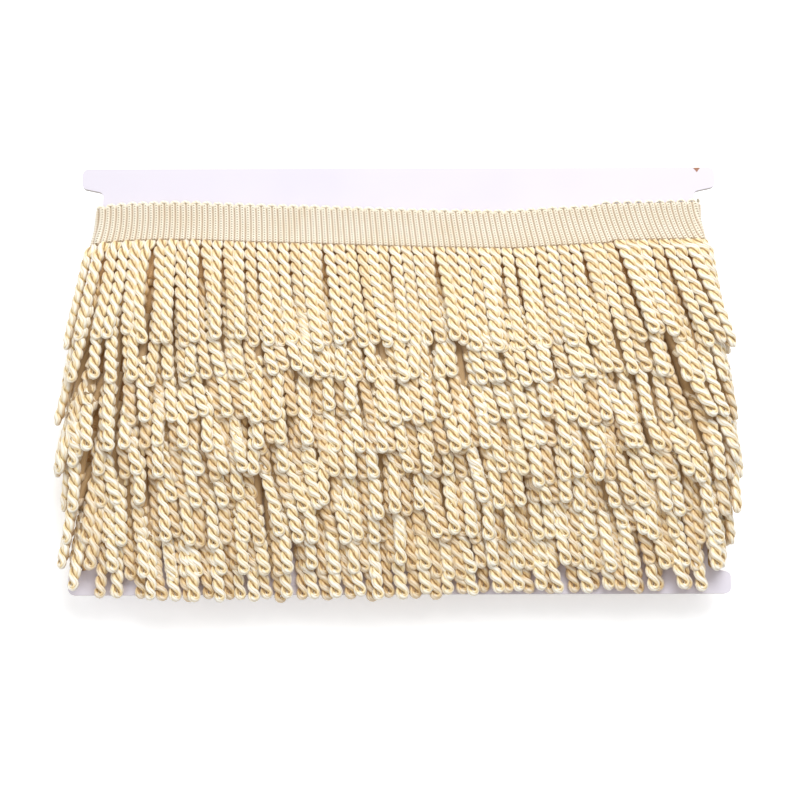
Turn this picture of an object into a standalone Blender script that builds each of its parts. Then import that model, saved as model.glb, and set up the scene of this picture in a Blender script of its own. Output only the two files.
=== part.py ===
"""A bullion fringe trim wound round its winding card, as closed solids.

X runs across the card, +Y towards its upper edge and +Z up. The wound card lies on its back, with the
origin under the middle of its bounding box, on the surface that it rests on. All sizes are in metres.

The trim is one length that passes round the card nine times. A place on it is given by the number of
its pass, its way round the card from the middle of the left edge, and its drop below the heading's
upper edge. The passes overlap like shingles, so each one lies a layer further out than the pass below.
"""

import math
from typing import NamedTuple

import bmesh
import bpy
import numpy as np

MM = 0.001

# Winding card
CARD_WIDTH = 296 * MM
CARD_HEIGHT = 198.7 * MM
CARD_THICKNESS = 2.4 * MM
NOTCH_DEPTH = 10.0 * MM
LUG_HEIGHT = 9.4 * MM
LUG_SLOPE = 2.2 * MM
CORNER_RADIUS = 2.8 * MM
NOTCH_RADIUS = 2.4 * MM
CORNER_STEPS = 4

# Trim, as made
HEADING_DEPTH = 16.8 * MM
RIBS_PER_STRAND = 2
RIB_RISE = 0.5 * MM
LOOP_RISE = 0.7 * MM
STRAND_PITCH = 5.02 * MM
STRAND_WIDTH = 4.5 * MM
STRAND_SQUARE = 4.7 * MM
STRAND_TURN = math.radians(45)
STRAND_STEPS = 6

# Trim, as wound
CLEARANCE = 0.3 * MM
LAYER = 1.4 * MM
LAYER_PITCH = 2.1 * MM
FALL = 68.5 * MM
FULL_THICKNESS = 4.4 * MM
ROOT_STRIP = 3.0 * MM
REST_HEIGHT = 13.4 * MM
LEVEL_REACH = 1.2 * MM
OVERHANG = 1.6 * MM

# Locks of strands
END_WOBBLE = 2.2 * MM
SIDE_GAP = 0.7 * MM
END_TAPER = 0.12
END_THINNESS = 0.45
SHOULDER = 2.4 * MM
SHOULDER_TAPER = 0.3
BELLY_SHARE = 0.45
STRAND_END = 0.6
LEAN_RIGHT = 5.0 * MM
LEAN_BACK = 3.0 * MM
EDGE_LOCK_GAP = math.radians(2.5)
EDGE_STEPS = 2
BACK_STEPS = 4
TAIL_LOCKS = 2
SEED = 7
SMOOTH_BELOW = math.radians(40)


class Pass(NamedTuple):
    """One pass round the card: its number from below, and the height of its heading's upper edge."""

    number: int
    heading_top: float


PASSES = (
    Pass(1, -34.7 * MM),
    Pass(2, -21.1 * MM),
    Pass(3, -7.5 * MM),
    Pass(4, 6.1 * MM),
    Pass(5, 19.7 * MM),
    Pass(6, 33.3 * MM),
    Pass(7, 46.9 * MM),
    Pass(8, 63.7 * MM),
    Pass(9, 80.5 * MM),
)
LAST = PASSES[-1].number
SLOPE_CHANGES = (PASSES[0].heading_top, PASSES[6].heading_top)


class LockCount(NamedTuple):
    """How many locks of strands hang along the front and the back of a pass."""

    front: int
    back: int


LOWER_LOCKS = LockCount(front=12, back=8)
TOP_LOCKS = LockCount(front=55, back=8)

# Stretches of the way round the card
BODY_WIDTH = CARD_WIDTH - 2 * NOTCH_DEPTH
EDGE_UNIT = CARD_THICKNESS / 2 + LAYER
QUARTER = EDGE_UNIT * math.pi / 2
FRONT_START = QUARTER
FRONT_END = FRONT_START + BODY_WIDTH
BACK_START = FRONT_END + 2 * QUARTER
BACK_END = BACK_START + BODY_WIDTH
ROUND = BACK_END + QUARTER
LUG_TOP = CARD_HEIGHT / 2 - LUG_HEIGHT - LUG_SLOPE
TAIL_END = BACK_START + BODY_WIDTH * TAIL_LOCKS / TOP_LOCKS.back
SEAM = CLEARANCE / 2

# Heights of the card's middle plane and of the card's centre in the part's frame
MIDDLE_Z = REST_HEIGHT + CARD_THICKNESS / 2
MIDDLE_Y = OVERHANG / 2

TOPS = np.array([p.heading_top for p in PASSES])
NUMBERS = np.array([float(p.number) for p in PASSES])


def turn_of(number, way):
    """The winding's count at a place: the pass's number, and up to one more across the back."""
    if number == LAST:
        return float(number)
    return number + min(max((way - BACK_START) / BODY_WIDTH, 0.0), 1.0)


def heading_top(turn):
    """The height of the heading's upper edge at a count of the winding."""
    return float(np.interp(turn, NUMBERS, TOPS))


def seat(turn, y):
    """How far the trim's inner side lies from the card at height y: a layer for each pass below it."""
    covered = turn - float(np.interp(y, TOPS, NUMBERS))
    return CLEARANCE + LAYER_PITCH * max(covered, 0.0)


def round_card(way, lift):
    """The x and z of a place on the way round the card, at a distance from the card's faces.

    The faces are straight, and each edge is half a circle about the middle of the card's edge.
    """
    half = BODY_WIDTH / 2
    radius = CARD_THICKNESS / 2 + lift
    if way < FRONT_START:
        angle = way / EDGE_UNIT
        return -half - radius * math.cos(angle), radius * math.sin(angle)
    if way <= FRONT_END:
        return way - FRONT_START - half, radius
    if way < BACK_START:
        angle = (way - FRONT_END) / EDGE_UNIT
        return half + radius * math.sin(angle), radius * math.cos(angle)
    if way <= BACK_END:
        return half - (way - BACK_START), -radius
    angle = (way - BACK_END) / EDGE_UNIT
    return -half - radius * math.sin(angle), -radius * math.cos(angle)


def place(number, way, drop, extra=0.0):
    """The point of a pass at a way round the card, a drop below its upper edge and a height over its seat.

    Nothing reaches further past the card's lower edge than the overhang, or below the surface that the
    wound card rests on.
    """
    turn = turn_of(number, way)
    y = max(heading_top(turn) - drop, -CARD_HEIGHT / 2 - OVERHANG)
    x, z = round_card(way, seat(turn, y) + extra)
    return x, y + MIDDLE_Y, max(z + MIDDLE_Z, 0.0)


def rounded_outline(corners):
    """An outline with each corner, given as x, y and radius, replaced by an arc that meets both sides."""
    points = []
    for i, (x, y, radius) in enumerate(corners):
        here = np.array([x, y])
        before = np.array(corners[i - 1][:2]) - here
        after = np.array(corners[(i + 1) % len(corners)][:2]) - here
        before = before / np.linalg.norm(before)
        after = after / np.linalg.norm(after)
        half_angle = math.acos(float(np.clip(before @ after, -1, 1))) / 2
        along = (before + after) / np.linalg.norm(before + after)
        centre = here + along * radius / math.sin(half_angle)
        first = here + before * radius / math.tan(half_angle) - centre
        last = here + after * radius / math.tan(half_angle) - centre
        sweep = math.pi - 2 * half_angle
        for step in range(CORNER_STEPS + 1):
            share = step / CORNER_STEPS
            turned = first * math.sin(sweep * (1 - share)) + last * math.sin(sweep * share)
            points.append(centre + turned / math.sin(sweep))
    return points


def material(name, colour, roughness):
    """A plain Principled material with a colour, a roughness and no metal."""
    made = bpy.data.materials.new(name)
    made.use_nodes = True
    shader = made.node_tree.nodes["Principled BSDF"]
    shader.inputs["Base Color"].default_value = (*colour, 1.0)
    shader.inputs["Roughness"].default_value = roughness
    shader.inputs["Metallic"].default_value = 0.0
    return made


def finish_object(name, mesh_maker, finish):
    """Turns a closed bmesh into an object with its faces outwards, its finish and smooth round sides."""
    bmesh.ops.recalc_face_normals(mesh_maker, faces=mesh_maker.faces)
    mesh = bpy.data.meshes.new(name)
    mesh_maker.to_mesh(mesh)
    mesh_maker.free()
    mesh.materials.append(finish)
    mesh.shade_smooth()
    mesh.set_sharp_from_angle(angle=SMOOTH_BELOW)
    made = bpy.data.objects.new(name, mesh)
    bpy.context.scene.collection.objects.link(made)
    return made


def zip_rows(maker, row_a, row_b):
    """Fills the space between two rows with triangles.

    Each row is a list of (way, vertex), in order. The next triangle always steps to the nearer way.
    """
    i = j = 0
    while i < len(row_a) - 1 or j < len(row_b) - 1:
        step_a = i < len(row_a) - 1 and (j == len(row_b) - 1 or row_a[i + 1][0] <= row_b[j + 1][0])
        third = row_a[i + 1][1] if step_a else row_b[j + 1][1]
        maker.faces.new((row_a[i][1], row_b[j][1], third))
        i, j = (i + 1, j) if step_a else (i, j + 1)


def bridge(maker, ring_a, ring_b):
    """Joins two rings of the same number of points with quads."""
    for i in range(len(ring_a)):
        j = (i + 1) % len(ring_a)
        maker.faces.new((ring_a[i], ring_a[j], ring_b[j], ring_b[i]))


class Edge(NamedTuple):
    """An edge of a band: the ways of its outer points, their drop, the inner points' drop, and their height."""

    ways: list
    drop: object
    inner_drop: float
    extra: object


def row(maker, number, ways, drop, extra):
    """A row of points along a pass, as (way, vertex). Drop and extra are numbers or functions of the way."""
    points = []
    for way in ways:
        at_drop = drop(way) if callable(drop) else drop
        at_extra = extra(way) if callable(extra) else extra
        points.append((way, maker.verts.new(place(number, way, at_drop, at_extra))))
    return points


def edge_ways():
    """The ways at which the round edges have corners: two to each quarter of a circle."""
    step = QUARTER / EDGE_STEPS
    left = [step * i for i in range(1, EDGE_STEPS + 1)]
    right = [FRONT_END + step * i for i in range(2 * EDGE_STEPS + 1)]
    back = [BACK_END + step * i for i in range(EDGE_STEPS)]
    return left, right, back


def pass_end(number):
    """The way at which a pass ends: the middle of the left edge, or the tail's end on the back."""
    return TAIL_END if number == LAST else ROUND - SEAM


def coarse_ways(number):
    """The ways that a plain band needs: its ends, the corners of the round edges and some across the back."""
    left, right, back = edge_ways()
    last = pass_end(number)
    across = [BACK_START + BODY_WIDTH * i / BACK_STEPS for i in range(1, BACK_STEPS)]
    return [SEAM, *left, *right, *(w for w in across + back if w < last - SEAM), last]


def add_band(maker, number, top, bottom, lower_ways):
    """The outer, upper and inner faces and both ends of a band. Returns its two lower rows.

    Top and bottom are its two edges, and the lower ways are those of its inner lower row.
    """
    coarse = coarse_ways(number)
    inner_top = row(maker, number, coarse, top.inner_drop, 0.0)
    outer_top = row(maker, number, top.ways, top.drop, top.extra)
    outer_bottom = row(maker, number, bottom.ways, bottom.drop, bottom.extra)
    inner_bottom = row(maker, number, lower_ways, bottom.inner_drop, 0.0)
    zip_rows(maker, inner_top, outer_top)
    zip_rows(maker, outer_top, outer_bottom)
    zip_rows(maker, inner_bottom, inner_top)
    for end in (0, -1):
        maker.faces.new([points[end][1] for points in (inner_top, outer_top, outer_bottom, inner_bottom)])
    return outer_bottom, inner_bottom


def strands_between(first, last):
    """How many strands hang from a stretch of heading between two ways."""
    return round((last - first) / STRAND_PITCH)


def rib_ways(first, last):
    """The ways of the valleys and crests of the ribs between two ways, without the two ends."""
    steps = 2 * RIBS_PER_STRAND * strands_between(first, last)
    return [first + (last - first) * i / steps for i in range(1, steps)]


def rib_phase(way, per_strand, first, last):
    """0 in the valley between two ribs or loops and 1 on a crest, with so many of them to a strand."""
    count = per_strand * strands_between(first, last)
    return 0.5 - 0.5 * math.cos(2 * math.pi * count * (way - first) / (last - first))


def ribbed_stretches(number):
    """The flat stretches of a heading that show, as (first way, last way)."""
    if number == LAST:
        return [(FRONT_START, FRONT_END), (BACK_START, TAIL_END)]
    if number == LAST - 1:
        return [(TAIL_END, BACK_END)]
    return []


def stretch_at(stretches, way):
    """The ribbed stretch that a way lies in, or None."""
    return next((s for s in stretches if s[0] < way < s[1]), None)


def make_heading(number, finish):
    """The knitted band of a pass. Where it shows it has upright ribs, and loops along its upper edge."""
    stretches = ribbed_stretches(number)
    coarse = coarse_ways(number)
    ways = sorted(set(coarse + [w for s in stretches for w in rib_ways(*s)]))

    def rib(way):
        stretch = stretch_at(stretches, way)
        return LAYER + (RIB_RISE * rib_phase(way, RIBS_PER_STRAND, *stretch) if stretch else 0.0)

    def loop(way):
        stretch = stretch_at(stretches, way)
        return -LOOP_RISE * rib_phase(way, 1, *stretch) if stretch else 0.0

    maker = bmesh.new()
    top = Edge(ways, loop, 0.0, rib)
    bottom = Edge(ways, HEADING_DEPTH, HEADING_DEPTH, rib)
    outer, inner = add_band(maker, number, top, bottom, coarse)
    zip_rows(maker, outer, inner)
    return finish_object(f"heading_{number}", maker, finish)


class Lock(NamedTuple):
    """A lock of strands between two ways, how far past the mean its end hangs, and if it is one strand."""

    first: float
    last: float
    longer: float
    single: bool


def locks_of(number, rng):
    """The locks of a pass in order along it: its left edge, front, right edge, back and left edge again."""
    counts = TOP_LOCKS if number == LAST else LOWER_LOCKS
    left, right, back = edge_ways()
    edge_gap = EDGE_LOCK_GAP * EDGE_UNIT / 2
    locks = []

    def add_edge(bounds):
        for a, b in zip(bounds[:-1], bounds[1:]):
            locks.append(Lock(a + edge_gap, b - edge_gap, rng.uniform(-1, 1) * END_WOBBLE, False))

    def add_flat(first, last, count, single):
        pitch = (last - first) / count
        gap = pitch - STRAND_WIDTH if single else SIDE_GAP
        for i in range(count):
            a = first + pitch * i
            locks.append(Lock(a + gap / 2, a + pitch - gap / 2, rng.uniform(-1, 1) * END_WOBBLE, single))

    add_edge([SEAM, *left])
    add_flat(FRONT_START, FRONT_END, counts.front, number == LAST)
    add_edge(right)
    if number == LAST:
        add_flat(BACK_START, TAIL_END, TAIL_LOCKS, False)
    else:
        add_flat(BACK_START, BACK_END, counts.back, False)
        add_edge([*back, ROUND - SEAM])
    return locks


def leaned(way, hung):
    """The way of a strand that leans as it hangs. The lean is widest mid-face and none at the edges."""
    if FRONT_START < way < FRONT_END:
        share = (way - FRONT_START) / BODY_WIDTH
        return way + LEAN_RIGHT * math.sin(math.pi * share) * hung
    if BACK_START < way < BACK_END:
        share = (way - BACK_START) / BODY_WIDTH
        return way + LEAN_BACK * math.sin(math.pi * share) * hung
    return way


def has_cover(number, way):
    """Whether another pass lies over this one at a way round the card."""
    if number == LAST:
        return False
    return number < LAST - 1 or way <= TAIL_END


def longest_drop(turn, way):
    """The furthest that a strand's end may hang: over the card's lower edge, or down to its lug at a side.

    A strand on a round edge stops above the lower lug, unless it lies far enough out to pass it.
    """
    top = heading_top(turn)
    on_face = FRONT_START < way < FRONT_END or BACK_START < way < BACK_END
    if on_face or seat(turn, -LUG_TOP) > NOTCH_DEPTH:
        return top + CARD_HEIGHT / 2 + OVERHANG + CLEARANCE
    return top + LUG_TOP - 2 * CLEARANCE


def lock_drops(number, lock, root_drop):
    """The drops at which a lock has a ring, as (drop, share of full thickness, share of the taper).

    It is thin as long as the next pass covers it, full where it is free, and thin again at its end.
    It also has a ring where the layers under it change their slope.
    """
    middle = (lock.first + lock.last) / 2
    turn = turn_of(number, middle)
    top = heading_top(turn)
    shorter = (END_WOBBLE - lock.longer) / 2
    end = min(FALL + lock.longer, longest_drop(turn, middle) - shorter)
    free = root_drop
    if has_cover(number, middle):
        above = heading_top(turn + 1)
        free = top - above + min(FALL + END_WOBBLE, longest_drop(turn + 1, middle)) + CLEARANCE
    kinks = [top - y for y in SLOPE_CHANGES]
    covered_end = min(free, end - SHOULDER)
    rings = [(d, 0.0, 0.0) for d in kinks if root_drop + CLEARANCE < d < covered_end - CLEARANCE]
    if free > end - SHOULDER:
        return sorted(rings) + [(end - SHOULDER, 0.0, SHOULDER_TAPER), (end, 0.0, 1.0)]
    if free > root_drop:
        rings.append((free, 0.0, 0.0))
    belly = free + (end - free) * BELLY_SHARE
    shoulder = max(end - SHOULDER, (belly + end) / 2)
    return sorted(rings) + [(belly, 1.0, 0.0), (shoulder, 1.0, SHOULDER_TAPER), (end, END_THINNESS, 1.0)]


def lock_thickness(number, way, drop, fullness):
    """How thick a lock is at a place. Where it is full on the back it is level with what it rests on."""
    thick = LAYER + (FULL_THICKNESS - LAYER) * fullness
    turn = turn_of(number, way)
    room = REST_HEIGHT - seat(turn, heading_top(turn) - drop)
    on_back = BACK_START < way < BACK_END
    return room if on_back and fullness == 1.0 and thick > room - LEVEL_REACH else thick


def add_lock(maker, number, lock, root, root_drop):
    """Extends a lock from its root's four points, ring by ring, to its end."""
    rings = lock_drops(number, lock, root_drop)
    end = rings[-1][0]
    ring = root
    for drop, fullness, taper in rings:
        hung = (drop - root_drop) / (end - root_drop)
        narrowing = (lock.last - lock.first) * END_TAPER * taper
        a = leaned(lock.first + narrowing, hung)
        b = leaned(lock.last - narrowing, hung)
        thick_a = lock_thickness(number, a, drop, fullness)
        thick_b = lock_thickness(number, b, drop, fullness)
        corners = [(a, thick_a), (b, thick_b), (b, 0.0), (a, 0.0)]
        following = [maker.verts.new(place(number, way, drop, extra)) for way, extra in corners]
        bridge(maker, ring, following)
        ring = following
    maker.faces.new(ring)


def add_strand(maker, number, lock, root, root_drop):
    """Extends one strand from its root's four points as a square bar that twists down to its end."""
    end = FALL + lock.longer
    centre = (lock.first + lock.last) / 2
    ring = root
    for step in range(1, STRAND_STEPS + 1):
        share = step / STRAND_STEPS
        drop = root_drop + (end - root_drop) * share
        size = STRAND_SQUARE / 2 * (STRAND_END if step == STRAND_STEPS else 1.0)
        way = leaned(centre, share)
        following = []
        for corner in range(4):
            angle = math.pi * 3 / 4 - math.pi / 2 * corner - STRAND_TURN * (step - 1)
            across = way + size * math.cos(angle)
            extra = STRAND_SQUARE / 2 + size * math.sin(angle)
            following.append(maker.verts.new(place(number, across, drop, extra)))
        bridge(maker, ring, following)
        ring = following
    maker.faces.new(ring)


def make_fringe(number, finish, rng):
    """The fringe of a pass: a narrow strip under the heading, with the locks fused to it at their roots."""
    top_drop = HEADING_DEPTH + CLEARANCE
    root_drop = top_drop + ROOT_STRIP
    locks = locks_of(number, rng)
    ways = sorted({w for lock in locks for w in (lock.first, lock.last)} | {SEAM, pass_end(number)})
    maker = bmesh.new()
    top = Edge(coarse_ways(number), top_drop, top_drop, LAYER)
    bottom = Edge(ways, root_drop, root_drop, LAYER)
    outer, inner = add_band(maker, number, top, bottom, ways)
    starts = {lock.first: lock for lock in locks}
    for i, way in enumerate(ways[:-1]):
        root = [outer[i][1], outer[i + 1][1], inner[i + 1][1], inner[i][1]]
        lock = starts.get(way)
        if lock is None:
            maker.faces.new(root)
        elif lock.single:
            add_strand(maker, number, lock, root, root_drop)
        else:
            add_lock(maker, number, lock, root, root_drop)
    return finish_object(f"fringe_{number}", maker, finish)


def make_card(finish):
    """The winding card: a flat board with a lug at each corner and a notched side between the lugs."""
    half_width = CARD_WIDTH / 2
    half_body = BODY_WIDTH / 2
    half_height = CARD_HEIGHT / 2
    lug_end = half_height - LUG_HEIGHT
    notch_end = lug_end - LUG_SLOPE
    quarter = [
        (half_body, notch_end, NOTCH_RADIUS),
        (half_width, lug_end, NOTCH_RADIUS),
        (half_width, half_height, CORNER_RADIUS),
    ]
    upper_left = [(-x, y, r) for x, y, r in reversed(quarter)]
    lower_left = [(-x, -y, r) for x, y, r in quarter]
    lower_right = [(x, -y, r) for x, y, r in reversed(quarter)]
    outline = rounded_outline(quarter + upper_left + lower_left + lower_right)
    maker = bmesh.new()
    bottom = MIDDLE_Z - CARD_THICKNESS / 2
    lower = maker.faces.new([maker.verts.new((x, y + MIDDLE_Y, bottom)) for x, y in outline])
    raised = bmesh.ops.extrude_face_region(maker, geom=[lower], use_keep_orig=True)
    for part in raised["geom"]:
        if isinstance(part, bmesh.types.BMVert):
            part.co.z += CARD_THICKNESS
    return finish_object("winding_card", maker, finish)


def main():
    """Builds the card, then the passes of the trim from the lowest to the top one."""
    for old in list(bpy.data.objects):
        bpy.data.objects.remove(old, do_unlink=True)
    board = material("white_board", (0.90, 0.88, 0.95), 0.6)
    knit = material("cream_knit", (0.89, 0.80, 0.59), 0.6)
    yarn = material("cream_bullion", (0.90, 0.80, 0.56), 0.5)
    rng = np.random.default_rng(SEED)
    make_card(board)
    for one in PASSES:
        make_heading(one.number, knit)
        make_fringe(one.number, yarn, rng)


main()
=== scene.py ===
"""The looks of a bullion fringe trim that is wound round its winding card.

X runs across the card, +Y towards its upper edge and +Z up out of its front face. All sizes are in metres.
The wound card lies on its back. A place on the trim is given by the number of its pass, its way round the
card from the middle of the left edge, its drop below the heading's upper edge, and its lift off the card.
"""

import logging
import math
from dataclasses import dataclass, field
from enum import Enum
from typing import NamedTuple

import bpy
import numpy as np
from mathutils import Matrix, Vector


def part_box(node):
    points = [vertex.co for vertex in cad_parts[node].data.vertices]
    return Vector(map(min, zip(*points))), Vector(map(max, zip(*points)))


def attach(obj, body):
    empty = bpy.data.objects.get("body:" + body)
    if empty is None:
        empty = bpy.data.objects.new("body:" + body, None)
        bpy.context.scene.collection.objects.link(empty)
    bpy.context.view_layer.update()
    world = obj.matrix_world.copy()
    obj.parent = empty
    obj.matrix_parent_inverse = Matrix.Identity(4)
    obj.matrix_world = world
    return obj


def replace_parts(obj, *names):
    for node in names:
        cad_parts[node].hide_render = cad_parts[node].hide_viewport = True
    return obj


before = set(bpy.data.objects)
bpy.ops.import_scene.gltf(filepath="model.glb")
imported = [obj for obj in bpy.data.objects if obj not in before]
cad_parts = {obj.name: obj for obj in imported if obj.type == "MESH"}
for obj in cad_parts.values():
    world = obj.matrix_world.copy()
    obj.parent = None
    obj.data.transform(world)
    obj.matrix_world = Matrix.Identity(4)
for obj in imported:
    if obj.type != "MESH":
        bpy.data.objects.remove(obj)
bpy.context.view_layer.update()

MM = 0.001
BODY = "root"
YARN_MAP = "yarn"
TONE = "tone"
# Attribute for how deep a point lies in painted shade between other strands
PAINTED_SHADE = "shade_depth"
FLANK = "flank"
SEED = 100

log = logging.getLogger("bullion_fringe")

Array = np.ndarray
Socket = bpy.types.NodeSocket
Value = float | tuple | Socket
Inputs = dict[str | int, Value]
Colour = tuple[float, float, float, float]

# How deep whole forms lie in painted shade between others, and the flank of a form without plies
OPEN = np.zeros((1, 1, 1))
RODS_IN_SHADE = np.full((1, 1, 1), 1.4)
STRIP_IN_DEEPEST_SHADE = np.full((1, 1, 1), 2.0)
PLAIN_FLANK = np.full((1, 1, 1), 0.1)


class Face(Enum):
    """A face of the card. Its value turns a place on the front into the same place on this face."""

    FRONT = 1.0
    BACK = -1.0


class Fineness(NamedTuple):
    """How finely strands are modelled: the sides of a ply, and the fine and coarse steps along it."""

    sides: int
    fine: float
    coarse: float


class Detail(Enum):
    """The fineness of the strands on the front, which is seen from close by, and of those on the back."""

    FRONT = Fineness(sides=8, fine=1.05 * MM, coarse=2.0 * MM)
    BACK = Fineness(sides=6, fine=1.5 * MM, coarse=2.6 * MM)


class Run(Enum):
    """How much of a strand is modelled in two plies, and how much of that finely."""

    WHOLE = "all of it finely"
    WHOLE_BUT_COARSE_ROOT = "all of it, coarsely near the root"
    END = "its end, with a plain rod above"


def smooth_step(value: Array) -> Array:
    """A share that eases from 0 to 1.

    Formula: t squared times (3 - 2 t), where t is the value held between 0 and 1.

    Args:
        value: Any numbers.

    Returns:
        The eased shares.
    """
    t = np.clip(value, 0.0, 1.0)
    return t * t * (3.0 - 2.0 * t)


class Places(NamedTuple):
    """Places along a pass: face signs, ways across that face from its middle, and counts of the winding."""

    side: Array
    across: Array
    turn: Array


@dataclass(frozen=True)
class Winding:
    """How the trim lies round the card, in overlapping passes like shingles."""

    centre: Vector
    card_height: float
    card_thickness: float
    tops: tuple[float, ...]
    body_width: float = 276.0 * MM
    notch_depth: float = 10.0 * MM
    lug_depth: float = 11.6 * MM
    clearance: float = 0.3 * MM
    band: float = 1.4 * MM
    layer_pitch: float = 2.1 * MM
    rest_height: float = 13.4 * MM
    fan_reach: float = 35.0 * MM
    tail_length: float = 69.0 * MM

    @classmethod
    def from_frame(cls, packed_depth: float, passes: int) -> "Winding":
        """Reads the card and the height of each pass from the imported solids.

        Args:
            packed_depth: Depth of the heading's solids, from their upper edge down.
            passes: Number of passes round the card.

        Returns:
            The winding.
        """
        low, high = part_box("winding_card")
        centre = (low + high) / 2
        lows = [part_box(f"heading_{number}")[0].y for number in range(1, passes + 1)]
        tops = tuple(low_y + packed_depth - centre.y for low_y in lows)
        return cls(centre, high.y - low.y, high.z - low.z, tops)

    @property
    def passes(self) -> int:
        """The number of passes round the card."""
        return len(self.tops)

    @property
    def edge_radius(self) -> float:
        """The radius at which the trim is neither stretched nor drawn in where it goes round an edge."""
        return self.card_thickness / 2 + self.band

    @property
    def quarter(self) -> float:
        """The way round a quarter of an edge."""
        return self.edge_radius * math.pi / 2

    @property
    def half_round(self) -> float:
        """The way from the middle of one edge to the middle of the other."""
        return self.body_width + 2 * self.quarter

    @property
    def tail_end(self) -> float:
        """The way at which the last pass ends, on the back."""
        return self.half_round + self.quarter + self.tail_length

    def locate(self, number: int, way: Array) -> Places:
        """Turns ways round the card into places on its faces.

        Formula: the first half round is the front and the second the back. Across is measured from the
        face's middle. The count is the pass's number, and grows by one across the back, apart from the
        last pass, which stays level.

        Args:
            number: Number of the pass, from 1.
            way: Ways round the card.

        Returns:
            The places.
        """
        on_back = way > self.half_round
        across = way - on_back * self.half_round - self.half_round / 2
        climb = np.clip((way - self.half_round - self.quarter) / self.body_width, 0.0, 1.0)
        turn = number + (climb if number < self.passes else 0.0 * climb)
        return Places(np.where(on_back, Face.BACK.value, Face.FRONT.value), across, turn)

    def top(self, turn: Array) -> Array:
        """The height of the heading's upper edge, which runs straight between the passes' heights."""
        return np.interp(turn, np.arange(1, self.passes + 1), self.tops)

    def seat(self, turn: Array, height: Array) -> Array:
        """How far the trim's inner side lies off the card.

        Formula: the clearance, and a layer for each pass whose heading starts between this height and
        the trim's own heading. The rise onto the first of them grows with the square of the way to it.

        Args:
            turn: Counts of the winding.
            height: Heights above the card's middle.

        Returns:
            The lifts.
        """
        covered = np.maximum(turn - np.interp(height, self.tops, np.arange(1, self.passes + 1)), 0.0)
        return self.clearance + self.layer_pitch * np.where(covered < 1.0, covered**2, covered)

    def fan(self, across: Array, lift: Array) -> Array:
        """Spreads the trim towards the edges, where its outer layers have further to go round.

        Formula: the middle of an edge moves out by the quarter circle's growth in length, and places
        further from it move by that times e to the minus distance over the fan's reach.

        Args:
            across: Places across a face, from its middle.
            lift: Lifts off the card.

        Returns:
            The places across, moved.
        """
        growth = math.pi / 2 * (self.card_thickness / 2 + lift - self.edge_radius)
        end = self.half_round / 2
        right = np.exp(-(end - across) / self.fan_reach)
        left = np.exp(-(end + across) / self.fan_reach)
        return across + growth * (right - left)

    def place(self, side: Array, across: Array, height: Array, lift: Array, out: Array) -> Array:
        """The points of places on the winding.

        Formula: a face is flat as far as half the body's width. Past that the trim turns about the middle
        of the card's edge, by the way past it over the radius, and past half a turn it runs straight
        again. Nothing goes below the surface that the wound card lies on.

        Args:
            side: Face signs.
            across: Places across that face, from its middle.
            height: Heights above the card's middle.
            lift: Lifts at which ways round the edge are measured.
            out: Further distances out from there.

        Returns:
            The points, with x, y and z last.
        """
        half = self.body_width / 2
        radius = self.card_thickness / 2 + lift
        way = np.maximum(np.abs(across) - half, 0.0)
        angle = np.minimum(way / radius, math.pi)
        past = way - angle * radius
        x = np.sign(across) * (np.minimum(np.abs(across), half) + (radius + out) * np.sin(angle) - past)
        z = (radius + out) * np.cos(angle)
        points = np.broadcast_arrays(
            side * x + self.centre.x,
            height + self.centre.y,
            np.maximum(side * z + self.centre.z, 0.0),
        )
        return np.stack(points, axis=-1)


@dataclass(frozen=True)
class Tubes:
    """A family of closed tubes with as many rings and sides each.

    Points are indexed by tube, ring and side, and the map has one more side, where a ring closes. How deep
    a point lies between other strands sets its painted shade: 0 is in the open and 1 deep down. Flank is
    the share of the way round a ply from its outermost line, up to a half, and less than 0 on its lower
    flank; the yarn's finish paints shade on a ply's sides and crease by it.
    """

    points: Array
    uv: Array
    tone: Array
    shade_depth: Array
    flank: Array

    def faces(self, first: int) -> tuple[Array, Array, Array]:
        """Works out the faces of all tubes.

        Formula: each point is joined to the next one round its ring and to the same two of the next
        ring, and the first and last rings are closed by a face each.

        Args:
            first: Index of the family's first vertex in its mesh.

        Returns:
            Vertex index of each corner, number of corners of each face, and map point of each corner.
        """
        tubes, rings, sides, _ = self.points.shape
        index = first + np.arange(tubes * rings * sides).reshape(tubes, rings, sides)
        beside = np.roll(index, -1, axis=2)
        quads = np.stack([index[:, :-1], beside[:, :-1], beside[:, 1:], index[:, 1:]], axis=-1)
        uv = self.uv
        quad_uv = np.stack([uv[:, :-1, :-1], uv[:, :-1, 1:], uv[:, 1:, 1:], uv[:, 1:, :-1]], axis=-2)
        corners = [quads.ravel(), index[:, 0, ::-1].ravel(), index[:, -1].ravel()]
        map_points = [quad_uv, uv[:, 0, sides - 1 :: -1], uv[:, -1, :-1]]
        sizes = np.concatenate([np.full(quads[..., 0].size, 4), np.full(2 * tubes, sides)])
        return np.concatenate(corners), sizes, np.concatenate([m.reshape(-1, 2) for m in map_points])

    def outward(self) -> "Tubes":
        """The same family with its sides in the order that makes its faces point outwards.

        Formula: the volume is a sixth of the sum over the faces' triangles of a times b cross c, taken on
        the first tube. Where it is negative, the order round each ring is turned about.

        Returns:
            This family or the turned one.
        """
        tube = self.points[0] - self.points[0].mean(axis=(0, 1))
        beside = np.roll(tube, -1, axis=1)
        a, b, c, d = tube[:-1], beside[:-1], beside[1:], tube[1:]
        volume = np.sum(a * np.cross(b, c)) + np.sum(a * np.cross(c, d))
        if volume >= 0:
            return self
        points, uv = self.points[:, :, ::-1], self.uv[:, :, ::-1]
        return Tubes(points, uv, self.tone, self.shade_depth[:, :, ::-1], self.flank[:, :, ::-1])

    def vertex_values(self) -> dict[str, Array]:
        """The tone, the depth and the flank of every vertex.

        Returns:
            The values, by the attribute's name.
        """
        shape = self.points.shape[:-1]
        values = {TONE: self.tone[:, None, None], PAINTED_SHADE: self.shade_depth, FLANK: self.flank}
        return {label: np.broadcast_to(value, shape).ravel() for label, value in values.items()}


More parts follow.
